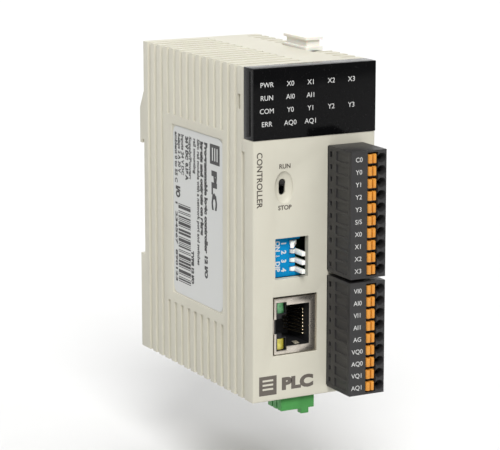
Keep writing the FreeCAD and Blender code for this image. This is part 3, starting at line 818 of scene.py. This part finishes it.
@dataclass
class Casing(SubAssembly):
    """The two ivory shells and the latch under the rail."""

    edge: float = 0.16
    corner: float = 0.55
    latch_edge: float = 0.12
    slot_low: tuple = (-62.95, 35.4)
    slot_high: tuple = (-61.45, 39.6)
    slot_deep: float = 1.6
    jack_gap: float = 0.55
    jack_foot: float = 0.3
    jack_side: float = 0.1
    jack_deep: float = 3.0

    def build(self) -> None:
        """Builds the housing, the cover and the latch."""
        self.housing()
        self.cover()
        self.mould("din_latch", "din_latch_slide", self.latch_edge, "ivory_plastic", "latch_plastic",
                   body="latch")

    def housing(self) -> None:
        """Rounds the rear shell, then cuts the snap slots into its flanks."""
        shell = Bench.soften(Bench.lift("rear_housing", "rear_housing_shell"), self.edge)
        wide = box_of("rear_housing")[1].x
        for sign in (-1, 1):
            ends = sorted((sign * (wide - self.slot_deep), sign * (wide + CLEAR)))
            Bench.nick(shell, Bench.block("snap_slot", (ends[0], *self.slot_low), (ends[1], *self.slot_high)))
        self.fit(Bench.soften(shell, 0.0), "ivory_plastic", "housing_plastic", "rear_housing")

    def cover(self) -> None:
        """Widens the jack's opening and rounds the panel's long corners most."""
        cover = Bench.lift("front_cover", "front_cover_shell")
        low, high = box_of("front_cover")
        foot, head = box_of("jack_shield")

        def long_corner(first: Vector, second: Vector) -> bool:
            """Whether an edge lies along one of the panel's two upright corners."""
            return all(abs(abs(end.x) - high.x) < NEAR and abs(end.y - low.y) < NEAR
                       for end in (first, second))

        Bench.carve(cover, Bench.block(
            "jack_gap", (foot.x - self.jack_gap, low.y - CLEAR, foot.z - self.jack_foot),
            (head.x + self.jack_side, low.y + self.jack_deep, head.z + self.jack_gap)))
        Bench.favour(cover, long_corner, self.edge / self.corner)
        self.fit(Bench.soften(cover, self.corner, 3), "ivory_plastic", "housing_plastic", "front_cover")


@dataclass
class IndicatorWindow(SubAssembly):
    """The black cap, with walls and a thicker face, and its rows of legends."""

    wall: float = 1.3
    face: float = 1.56
    edge: float = 0.22
    nick_back: float = 2.16
    nick_wide: float = 0.5
    nick_deep: float = 0.35
    nick_foot: float = 1.1
    nick_top: float = 1.0
    letter: float = 1.42
    lamp_half: float = 0.7
    pitch: float = 6.5
    rows: tuple = (("PWR", "X0", "X1", "X2", "X3"), ("RUN", "AI0", "AI1"),
                   ("COM", "Y0", "Y1", "Y2", "Y3"), ("ERR", "AQ0", "AQ1"))

    def build(self) -> None:
        """Hollows a block from behind, nicks its flanks and prints the legends."""
        low, high = box_of("indicator_window")
        cap = Bench.block("indicator_window_cap", low, high)
        Bench.pick_side(cap, Side.BACK)
        Bench.inset(self.wall)
        Bench.push((0, low.y + self.face - high.y, 0))
        Bench.done()
        near = low.y + self.nick_back - self.nick_wide / 2
        for sign in (-1, 1):
            flank = sign * high.x
            Bench.carve(cap, Bench.block(
                "nick", (flank - self.nick_deep, near, low.z + self.nick_foot),
                (flank + self.nick_deep, near + self.nick_wide, high.z - self.nick_top)))
        self.fit(Bench.soften(cap, self.edge, 3), "window_plastic", "window_plastic", "indicator_window")
        self.print_legends(low.y)

    def print_legends(self, front: float) -> None:
        """Prints a legend in front of every lamp."""
        low, high = box_of("indicator_leds")
        top = high.z - self.lamp_half
        drop = (top - low.z - self.lamp_half) / (len(self.rows) - 1)
        second = high.x - self.lamp_half - (len(self.rows[0]) - 2) * self.pitch
        words = []
        for line, row in enumerate(self.rows):
            for column, word in enumerate(row):
                x = second + (column - 1) * self.pitch if column else low.x + self.lamp_half
                words.append(Bench.print_words(word, self.letter, (x, front, top - line * drop)))
        self.fit(Bench.join("window_legends", words), "white_ink", "dip_white")


@dataclass
class RatingLabel(SubAssembly):
    """The silver label on the left flank.

    Places on the label are shares of its width, from its front edge, and of its length, from its
    top. A line is its place across the label, its letters' height, where it starts and ends, how
    bold it is, and its words. Bars and gaps are in millimetres.
    """

    corner: float = 2.6
    ink: float = 0.02
    sign_across: tuple = (0.06, 0.25)
    sign_down: tuple = (0.04, 0.155)
    stripe_across: tuple = (0.1, 0.12)
    stripe_down: tuple = (0.06, 0.135)
    stripe_pitch: float = 0.045
    code_across: tuple = (0.645, 0.895)
    code_down: tuple = (0.457, 0.925)
    bars: tuple = (0.24, 0.7, 0.3, 0.24, 0.95, 0.26, 0.5, 0.24, 0.3, 0.7, 0.24)
    gaps: tuple = (0.26, 0.44, 0.7, 0.26, 0.3, 0.26, 0.4)
    lines: tuple = (
        (0.165, 3.0, 0.19, 0.418, 0.3, "PLC"),
        (0.33, 1.75, 0.044, 0.838, 0.2, "Programmable logic controller 12 I/O"),
        (0.41, 1.75, 0.045, 0.595, 0.2, "inputs and outputs on plugs"),
        (0.48, 1.6, 0.04, 0.78, 0.09, "Slim rail module with a network port and switches"),
        (0.555, 1.6, 0.042, 0.248, 0.09, "rail mounting"),
        (0.605, 1.4, 0.71, 0.909, 0.18, "TYPE 12 I/O"),
        (0.645, 1.6, 0.04, 0.29, 0.09, "Supply/Power:"),
        (0.715, 1.6, 0.043, 0.304, 0.2, "24 V DC  0.15 A"),
        (0.8, 1.6, 0.041, 0.28, 0.1, "Inputs 24 V DC"),
        (0.87, 1.6, 0.041, 0.273, 0.1, "Relays 2 A 30 V"),
        (0.935, 1.6, 0.037, 0.338, 0.1, "ambient 0 to 55 C"),
        (0.9, 2.6, 0.355, 0.424, 0.25, "I/O"),
        (0.935, 1.3, 0.449, 0.928, 0.08, "1  234567  890123"),
    )

    def build(self) -> None:
        """Makes the plate with round corners, then its print."""
        plate = Bench.block("rating_label_plate", *box_of("rating_label"))
        Bench.round_edges(plate, lambda first, second: abs(first.x - second.x) > NEAR, self.corner, 6)
        self.fit(Bench.soften(plate, 0.0), "label_stock", "label_paper", "rating_label")
        marks = self.print_lines() + [self.sign()] + self.bar_code()
        self.fit(Bench.join("rating_label_print", marks), "label_ink", "switch_lever")

    def mark(self, across: Point, down: Point, proud: float = 1.0) -> Piece:
        """One rectangle of print.

        Args:
            across: Its two edges across the label.
            down: Its two edges down the label.
            proud: How many times thicker than the ink it is.

        Returns:
            The mark.
        """
        low, high = box_of("rating_label")
        wide, tall, half = high.y - low.y, high.z - low.z, self.ink * proud
        return Bench.block("mark", (low.x - half, low.y + across[0] * wide, high.z - down[1] * tall),
                           (low.x + half, low.y + across[1] * wide, high.z - down[0] * tall))

    def print_lines(self) -> list[Piece]:
        """The lines of words that run down the label."""
        low, high = box_of("rating_label")
        wide, tall = high.y - low.y, high.z - low.z
        prints = []
        for across, size, start, end, bold, words in self.lines:
            spot = (low.x, low.y + across * wide, high.z - (start + end) / 2 * tall)
            prints.append(Bench.print_words(words, size, spot, Side.LEFT, Reading.DOWNWARD, bold,
                                            (end - start) * tall, 2))
        return prints

    def sign(self) -> Piece:
        """A block with three stripes cut out of it."""
        stripes = []
        for row in range(3):
            edges = [edge + self.stripe_pitch * row for edge in self.stripe_across]
            stripes.append(self.mark(edges, self.stripe_down, 4.0))
        return Bench.carve(self.mark(self.sign_across, self.sign_down), *stripes)

    def bar_code(self) -> list[Piece]:
        """Bars of changing width beside the lower lines, which spell nothing."""
        low, high = box_of("rating_label")
        tall = high.z - low.z
        down, end = self.code_down
        prints = []
        while down < end:
            step = len(prints)
            thick = self.bars[step * (step + 3) % len(self.bars)] / tall
            prints.append(self.mark(self.code_across, (down, down + thick)))
            down += thick + self.gaps[(step ** 3 + step) % len(self.gaps)] / tall
        return prints


@dataclass
class PanelPrint(SubAssembly):
    """The grey legends and the plain mark on the front panel.

    The mark's heights count from the panel's foot.
    """

    letter: float = 1.28
    bold: float = 0.05
    mode_x: float = -9.55
    run_z: float = 19.8
    stop_z: float = 8.1
    upright: float = 1.75
    upright_spot: tuple = (-17.45, 16.4)
    square_x: tuple = (-17.6, -12.0)
    square_z: tuple = (1.9, 7.5)
    stripe_x: tuple = (-16.5, -13.1)
    stripe_z: tuple = (3.4, 3.95)
    stripe_pitch: float = 1.25
    name_letter: float = 3.3
    name_spot: tuple = (-5.3, 4.75)
    name_span: float = 10.2
    name_bold: float = 0.3

    def build(self) -> None:
        """Prints the switch's legends, the upright line and the mark at the foot."""
        low = box_of("front_cover")[0]
        words = [Bench.print_words(word, self.letter, (self.mode_x, low.y, z), bold=self.bold)
                 for word, z in (("RUN", self.run_z), ("STOP", self.stop_z))]
        x, z = self.upright_spot
        words.append(Bench.print_words("CONTROLLER", self.upright, (x, low.y, z), Side.FRONT,
                                       Reading.DOWNWARD, self.bold))
        self.fit(Bench.join("panel_legends", words), "legend_ink", "switch_lever")
        square = self.patch("panel_mark_square", low, PRINT, self.square_x, self.square_z)
        for row in range(3):
            rise = [edge + self.stripe_pitch * row for edge in self.stripe_z]
            Bench.carve(square, self.patch("stripe", low, CLEAR, self.stripe_x, rise))
        x, z = self.name_spot
        name = Bench.print_words("PLC", self.name_letter, (x, low.y, low.z + z), bold=self.name_bold,
                                 span=self.name_span)
        self.fit(Bench.join("panel_mark", [square, name]), "panel_ink", "switch_lever")

    @staticmethod
    def patch(name: str, low: Vector, half: float, across: Point, rise: Point) -> Piece:
        """A rectangle on the panel.

        Args:
            name: Its name.
            low: The panel's lowest corner.
            half: Half its thickness.
            across: Its left and right edges.
            rise: Its lower and upper edges above the panel's foot.

        Returns:
            The rectangle.
        """
        return Bench.block(name, (across[0], low.y - half, low.z + rise[0]),
                           (across[1], low.y + half, low.z + rise[1]))


@dataclass
class ModeSwitch(SubAssembly):
    """The run and stop slide in its dished slot."""

    ribs: int = 3
    groove_x: float = 1.2
    groove_z: float = 0.1
    groove_pitch: float = 0.42
    groove_deep: float = 0.22

    def build(self) -> None:
        """Makes the body behind the panel, and the nub with its grip grooves."""
        self.mould("mode_switch_body", "mode_switch_case", 0.1, "switch_plastic", "switch_black")
        low, high = box_of("mode_switch_lever")
        lever = Bench.lift("mode_switch_lever", "mode_switch_nub")
        x, middle = (low.x + high.x) / 2, (low.z + high.z) / 2
        for row in range(self.ribs):
            z = middle + self.groove_pitch * (row - 1)
            Bench.carve(lever, Bench.block(
                "groove", (x - self.groove_x, low.y - CLEAR / 2, z - self.groove_z),
                (x + self.groove_x, low.y + self.groove_deep, z + self.groove_z)))
        self.fit(Bench.soften(lever, 0.06), "nub_plastic", "switch_lever", "mode_switch_lever",
                 body="mode_lever")


@dataclass
class LeverSwitch(SubAssembly):
    """The blue four-way switch with its white levers."""

    levers: int = 4
    edge: float = 0.1
    digit: float = 1.5
    digit_x: float = 3.85
    letter: float = 1.4
    word_x: float = 1.9
    bold: float = 0.08
    words: tuple = (("ON", 2.6), ("DIP", 8.4))
    arrow_drop: float = 5.4

    def build(self) -> None:
        """Rounds the body and the levers and prints the digits and words."""
        self.mould("dip_switch_body", "dip_switch_case", self.edge, "dip_plastic", "dip_blue")
        low, high = box_of("dip_switch_body")
        prints = []
        for index in range(self.levers):
            node = f"dip_lever_{index + 1}"
            self.mould(node, f"{node}_arm", self.edge, "lever_plastic", "dip_white", 3, node)
            ends = box_of(node)
            spot = (low.x + self.digit_x, low.y, (ends[0].z + ends[1].z) / 2)
            prints.append(self.downward(str(index + 1), self.digit, spot))
        for word, drop in self.words:
            prints.append(self.downward(word, self.letter, (low.x + self.word_x, low.y, high.z - drop)))
        prints.append(self.arrow((low.x + self.word_x, low.y, high.z - self.arrow_drop)))
        self.fit(Bench.join("dip_switch_legends", prints), "white_ink", "dip_white")

    def downward(self, word: str, tall: float, spot: Point) -> Piece:
        """A legend that runs down the switch's face."""
        return Bench.print_words(word, tall, spot, Side.FRONT, Reading.DOWNWARD, self.bold)

    @staticmethod
    def arrow(spot: Point) -> Piece:
        """A small arrow that points to the on side.

        Args:
            spot: The arrow's middle.

        Returns:
            The print.
        """
        x, y, z = spot
        shaft = Bench.block("shaft", (x - 0.5, y - PRINT, z - 0.1), (x + 0.6, y + PRINT, z + 0.1))
        head = Bench.block("head", (x - 0.7, y - PRINT, z - 0.35), (x - 0.3, y + PRINT, z + 0.35))
        Bench.pick_side(head, Side.LEFT)
        Bench.stretch((1, 1, 0.1))
        Bench.done()
        return Bench.join("arrow", [shaft, head])


@dataclass
class NetworkJack(SubAssembly):
    """The shielded jack: folded shield, insert, gold springs and two lamps."""

    springs: int = 8
    strip: float = 0.75
    window_gaps: tuple = (0.3, 0.25, 0.05)
    latch_half: float = 2.1
    skin: float = 0.5
    lens_wide: float = 2.7
    bulge: float = 0.6
    tip: float = 0.28
    wire: tuple = (0.35, 0.5, 0.45)
    bends: tuple = ((-0.05, 0.7, 0), (-0.3, 1.2, 0), (-0.55, 1.8, 0), (-0.7, 2.0, 0), (-0.62, 1.6, 0))
    finger_spot: tuple = (7.0, 0.7, 2.3)
    finger_size: tuple = (1.5, 0.5, 0.2)
    finger_bends: tuple = ((0, 0.6, 0.12), (0, 0.5, 0.1), (0, 0.4, -0.1))

    def build(self) -> None:
        """Makes the shield with its ground finger, the insert, the springs and the lenses."""
        low, high = box_of("jack_shield")
        left = low.x + self.strip
        self.shield(low, high, left)
        # The ground finger takes the paler copy of the shield steel, which paints it bright.
        self.fit(self.ground_finger(low), "finger_steel_painted_bright", "jack_steel")
        self.mould("jack_insert", "jack_insert_block", 0.1, "switch_plastic", "switch_black")
        low, high = box_of("jack_contacts")
        pitch = (high.z - low.z - self.wire[2]) / (self.springs - 1)
        first = self.spring(low, high)
        wires = [Bench.twin(first, f"wire_{index}", (0, 0, index * pitch)) for index in range(self.springs)]
        bpy.data.objects.remove(first)
        self.fit(Bench.join("jack_contact_wires", wires), "gold_wire", "contact_gold", "jack_contacts")
        for colour in ("green", "yellow"):
            node = f"jack_led_{colour}"
            self.fit(self.lens(node, left), f"{colour}_lens", f"lens_{colour}", node)

    def shield(self, low: Vector, high: Vector, left: float) -> None:
        """Cuts the lamps' window and the plug latch's way into the shield's front.

        Args:
            low: The shield's lowest corner.
            high: Its highest corner.
            left: Where its narrow left strip ends.
        """
        lamps = box_of("jack_led_yellow")[0], box_of("jack_led_green")[1]
        side, below, above = self.window_gaps
        middle = (low.z + high.z) / 2
        near, far = low.y - CLEAR, low.y + self.skin
        shield = Bench.carve(
            Bench.lift("jack_shield", "jack_shield_skin"),
            Bench.block("lamp_window", (left, near, lamps[0].z - below),
                        (lamps[1].x + side, far, lamps[1].z + above)),
            Bench.block("latch_way", (low.x - CLEAR, near, middle - self.latch_half),
                        (left + CLEAR, far, middle + self.latch_half)))
        self.fit(Bench.soften(shield, 0.06), "tinned_steel", "jack_steel", "jack_shield")

    def lens(self, node: str, left: float) -> Piece:
        """A lamp's light pipe, with a half-round front.

        Args:
            node: The CAD node that it stands for.
            left: Where its left side is.

        Returns:
            The lens.
        """
        low, high = box_of(node)
        radius = self.lens_wide / 2
        seam = low.y + radius * self.bulge
        body = Bench.block(f"{node}_lens", (left, seam, low.z), (left + self.lens_wide, high.y, high.z))
        front = Bench.rod("front", (left + radius, seam, low.z + NEAR), radius,
                          high.z - low.z - 2 * NEAR, Side.TOP)
        about = Matrix.Translation((0, seam * MM, 0))
        front.data.transform(about @ Matrix.Scale(self.bulge, 4, (0, 1, 0)) @ about.inverted())
        return Bench.soften(Bench.weld(body, front), 0.16, 3, SOFT_CREASE)

    def spring(self, low: Vector, high: Vector) -> Piece:
        """One contact wire, bent back from the mouth into the jack, with a bead at its tip.

        Args:
            low: The lowest corner of all the contacts.
            high: Their highest corner.

        Returns:
            The lowest wire.
        """
        across, along, tall = self.wire
        wire = Bench.block("wire", (high.x - across, low.y, low.z), (high.x, low.y + along, low.z + tall))
        Bench.pick_side(wire, Side.BACK)
        Bench.push(*self.bends)
        Bench.done()
        Bench.soften(wire, 0.07, 2, SOFT_CREASE)
        bpy.ops.object.select_all(action="DESELECT")
        bpy.ops.mesh.primitive_uv_sphere_add(segments=16, ring_count=10, radius=self.tip * MM)
        bead = bpy.context.active_object
        bead.data.transform(Matrix.Translation(Vector((high.x - 0.3, low.y + 0.1, low.z + 0.22)) * MM)
                            @ Matrix.Diagonal((1.1, 1.0, 0.85, 1.0)))
        bpy.ops.object.shade_smooth()
        return Bench.join("wire", [wire, bead])

    def ground_finger(self, low: Vector) -> Piece:
        """The springy metal tab at the foot of the mouth.

        Args:
            low: The shield's lowest corner.

        Returns:
            The tab.
        """
        base = low + Vector(self.finger_spot)
        tab = Bench.block("jack_ground_finger", base, base + Vector(self.finger_size))
        Bench.pick_side(tab, Side.BACK)
        Bench.push(*self.finger_bends)
        Bench.done()
        return Bench.soften(tab, 0.06)


@dataclass
class TerminalPlug(SubAssembly):
    """A pull-off terminal block with orange push buttons and a legend for every pole."""

    plug: str = "upper"
    legends: tuple = ()
    letter: float = 1.35
    legend_x: float = 2.95
    pitch: float = 3.5
    end_wall: float = 0.6
    slot_back: float = 10.65
    slot_size: tuple = (1.9, 1.25, 1.6)
    side_gap: float = 0.25
    top_gap: float = 0.3
    foot_gap: float = 0.1
    key_face: float = 0.8
    ridges: tuple = ((0.0, 0.56), (0.6, 0.4))

    def build(self) -> None:
        """Makes the block, its buttons and its print."""
        node = f"{self.plug}_plug_body"
        low, high = box_of(node)
        block = Bench.soften(Bench.lift(node, f"{self.plug}_plug_block"), 0.1)
        Bench.nick(block, *self.slots(low, high))
        self.fit(Bench.soften(block, 0.0), "plug_plastic", "plug_black", node)
        front = low.y
        start, end = box_of(f"{self.plug}_button_01")
        model = self.button(start, end)
        words = []
        for index, word in enumerate(self.legends):
            name = f"{self.plug}_button_{index + 1:02d}"
            low, high = box_of(name)
            key = Bench.twin(model, f"{name}_key", low - start)
            self.fit(key, "button_plastic", "button_orange", name, body=name)
            spot = (low.x - self.legend_x, front, (low.z + high.z) / 2)
            words.append(Bench.print_words(word, self.letter, spot))
        bpy.data.objects.remove(model)
        self.fit(Bench.join(f"{self.plug}_plug_legends", words), "white_ink", "dip_white")

    def slots(self, low: Vector, high: Vector) -> list[Piece]:
        """The test slots in the plug's left side, one for each pole, as cutting blocks."""
        deep, wide, tall = self.slot_size
        near = low.y + self.slot_back
        cuts = []
        for index in range(len(self.legends)):
            foot = high.z - self.end_wall - (index + 0.5) * self.pitch - tall / 2
            cuts.append(Bench.block("slot", (low.x - CLEAR, near, foot),
                                    (low.x + deep, near + wide, foot + tall)))
        return cuts

    def button(self, low: Vector, high: Vector) -> Piece:
        """The model of a push button: a key whose face is two rounded ridges.

        Args:
            low: The first button's lowest corner.
            high: Its highest corner.

        Returns:
            The model.
        """
        wide = high.x - low.x - self.side_gap
        top, foot = high.z - self.top_gap, low.z + self.foot_gap
        key = Bench.block("button", (low.x, low.y + self.key_face, foot), (low.x + wide, high.y, top))
        for start, share in self.ridges:
            radius = wide * share / 2
            spot = (low.x + wide * start + radius, low.y + radius, foot + RIDGE_INSET)
            Bench.weld(key, Bench.rod("ridge", spot, radius, top - foot - 2 * RIDGE_INSET, Side.TOP, 24))
        return Bench.soften(key, 0.13, 3, SOFT_CREASE)


@dataclass
class SupplyPlug(SubAssembly):
    """The green plug under the floor and its clamp screws."""

    screws: int = 3
    edge: float = 0.12
    slot_half: float = 0.3
    slot_deep: float = 0.75

    def build(self) -> None:
        """Makes the block and the slotted screws."""
        self.mould("power_plug_body", "supply_plug_block", self.edge, "supply_plastic", "plug_green")
        for index in range(self.screws):
            node = f"power_screw_{index + 1}"
            screw = self.screw(*box_of(node))
            screw.name = screw.data.name = f"{node}_head"
            self.fit(screw, "zinc_steel", "screw_steel", node, body=node)

    def screw(self, low: Vector, high: Vector) -> Piece:
        """A slotted screw that fills a box.

        Args:
            low: The box's lowest corner.
            high: Its highest corner.

        Returns:
            The screw.
        """
        middle = (low + high) / 2
        radius = (high.x - low.x) / 2
        head = Bench.rod("screw", (middle.x, low.y, middle.z), radius, high.y - low.y, Side.BACK, 40)
        slot = Bench.block("slot", (middle.x - self.slot_half, high.y - self.slot_deep, low.z - CLEAR),
                           (middle.x + self.slot_half, high.y + CLEAR, high.z + CLEAR))
        return Bench.soften(Bench.carve(head, slot), self.edge, 3)


@dataclass
class ModuleLock(SubAssembly):
    """A white slide that ties two modules together."""

    end: str = "top"
    edge: float = 0.16

    def build(self) -> None:
        """Rounds the slide."""
        node = f"{self.end}_module_lock"
        self.mould(node, f"{node}_slide", self.edge, "nylon", "lock_nylon", 3)


@dataclass
class Electronics(SubAssembly):
    """What stays as the CAD made it: boards, their parts, headers and contacts."""

    finishes: tuple = (
        ("main_board", "solder_mask"), ("io_board", "solder_mask"), ("display_board", "solder_mask"),
        ("processor_chips", "chip_epoxy"), ("output_relays", "relay_plastic"),
        ("capacitors", "aluminium_can"),
        ("indicator_leds", "lamp_lens"), ("light_guide", "clear_plastic"),
        ("upper_header", "plug_plastic"), ("lower_header", "plug_plastic"),
        ("power_header", "supply_plastic"), ("upper_header_pins", "pin_tin"),
        ("lower_header_pins", "pin_tin"), ("power_header_pins", "pin_tin"),
        ("upper_plug_contacts", "pin_tin"), ("lower_plug_contacts", "pin_tin"),
    )

    def build(self) -> None:
        """Dresses each CAD node in its finish."""
        for node, finish in self.finishes:
            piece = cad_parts[node]
            piece.data.materials.clear()
            piece.data.materials.append(self.palette[finish])
            LOG.info("%s: %s", node, finish)


@dataclass
class Studio:
    """Camera, lamps, floor and surroundings."""

    azimuth: float = -27.9
    elevation: float = 11.84
    distance: float = 647.2
    target: tuple = (-3.74, -38.93, -3.36)
    lens: float = 158.94
    floor_drop: float = 26.0
    floor_size: float = 12000.0
    card_far: float = 2600.0
    card_half: float = 4000.0
    card_thick: float = 20.0
    glow: float = 0.28
    lamps: tuple = (
        ("key", (-0.28, -0.66, 0.697), 2.85, 30),
        ("fill", (0.5, -0.35, 0.79), 0.5, 50),
        ("top", (0.1, 0.2, 0.97), 1.1, 60),
    )

    def build(self) -> None:
        """Sets the whole studio up."""
        self.camera()
        self.floor()
        self.backdrop()
        self.world()
        for name, way, power, spread in self.lamps:
            self.lamp(name, way, power, spread)

    def camera(self) -> None:
        """Adds the camera at the viewing angle."""
        data = bpy.data.cameras.new("camera")
        data.sensor_width = 36.0
        data.lens = self.lens
        data.clip_start = 0.05
        data.clip_end = 20.0
        eye = bpy.data.objects.new("camera", data)
        bpy.context.scene.collection.objects.link(eye)
        turn, rise = math.radians(self.azimuth), math.radians(self.elevation)
        back = Vector((math.sin(turn) * math.cos(rise), -math.cos(turn) * math.cos(rise), math.sin(rise)))
        eye.location = (Vector(self.target) + back * self.distance) * MM
        eye.rotation_euler = back.to_track_quat("Z", "Y").to_euler()
        bpy.context.scene.camera = eye

    def floor(self) -> None:
        """Adds the pale floor below the module."""
        bpy.ops.object.select_all(action="DESELECT")
        level = cad_box[0].z - self.floor_drop * MM
        bpy.ops.mesh.primitive_plane_add(size=self.floor_size * MM, location=(0, 0, level))
        piece = bpy.context.active_object
        piece.name = "floor"
        self.paper(piece, "floor_paper", 40.0, tone(214, 214, 213), tone(217, 217, 217))

    def backdrop(self) -> None:
        """Stands a white card far behind the module, which its glossy top faces mirror."""
        card = Bench.block("backdrop_card", (-self.card_half, self.card_far, -self.card_far / 10),
                           (self.card_half, self.card_far + self.card_thick, self.card_far))
        self.paper(card, "backdrop_paper", 300.0, tone(236, 236, 235), tone(242, 242, 242))

    @staticmethod
    def paper(piece: Piece, name: str, patch: float, dull: Colour, clean: Colour) -> None:
        """Covers a stage piece in plain paper.

        Args:
            piece: The floor or the card.
            name: The material's name.
            patch: The width of its clouds in millimetres.
            dull: Its darker colour.
            clean: Its lighter colour.
        """
        recipe = Recipe(name)
        shade = recipe.blend(recipe.noise(recipe.place(), patch, 3.0), dull, clean)
        piece.data.materials.append(recipe.dress(base_color=shade, roughness=0.9))

    def world(self) -> None:
        """Lights the surroundings white."""
        world = bpy.data.worlds.new("surroundings")
        world.use_nodes = True
        sky = world.node_tree.nodes["Background"]
        sky.inputs["Color"].default_value = (1.0, 1.0, 1.0, 1.0)
        sky.inputs["Strength"].default_value = self.glow
        bpy.context.scene.world = world
        bpy.context.scene.view_settings.view_transform = "Standard"

    @staticmethod
    def lamp(name: str, way: Point, power: float, spread: float) -> None:
        """Adds a soft, distant light.

        Args:
            name: Its name.
            way: The direction that it stands in.
            power: Its strength in watts per square metre.
            spread: How wide it looks from the module, in degrees.
        """
        data = bpy.data.lights.new(name, "SUN")
        data.energy = power
        data.angle = math.radians(spread)
        lamp = bpy.data.objects.new(name, data)
        bpy.context.scene.collection.objects.link(lamp)
        lamp.location = Vector(way) * 0.5
        lamp.rotation_euler = Vector(way).to_track_quat("Z", "Y").to_euler()


def main() -> None:
    """Builds the module piece by piece, then the studio."""
    logging.basicConfig(level=logging.INFO, format="%(message)s")
    palette = Palette()
    upper = ("C0", "Y0", "Y1", "Y2", "Y3", "S/S", "X0", "X1", "X2", "X3")
    lower = ("VI0", "AI0", "VI1", "AI1", "AG", "VQ0", "AQ0", "VQ1", "AQ1")
    groups = [
        Casing(palette),
        IndicatorWindow(palette),
        RatingLabel(palette),
        PanelPrint(palette),
        ModeSwitch(palette),
        LeverSwitch(palette),
        NetworkJack(palette),
        TerminalPlug(palette, "upper_plug", "upper", upper),
        TerminalPlug(palette, "lower_plug", "lower", lower),
        SupplyPlug(palette, "power_plug"),
        ModuleLock(palette, "top_lock", "top"),
        ModuleLock(palette, "bottom_lock", "bottom"),
        Electronics(palette),
    ]
    for group in groups:
        LOG.info("building %s", type(group).__name__)
        group.build()
    Studio().build()


if __name__ == "__main__":
    main()
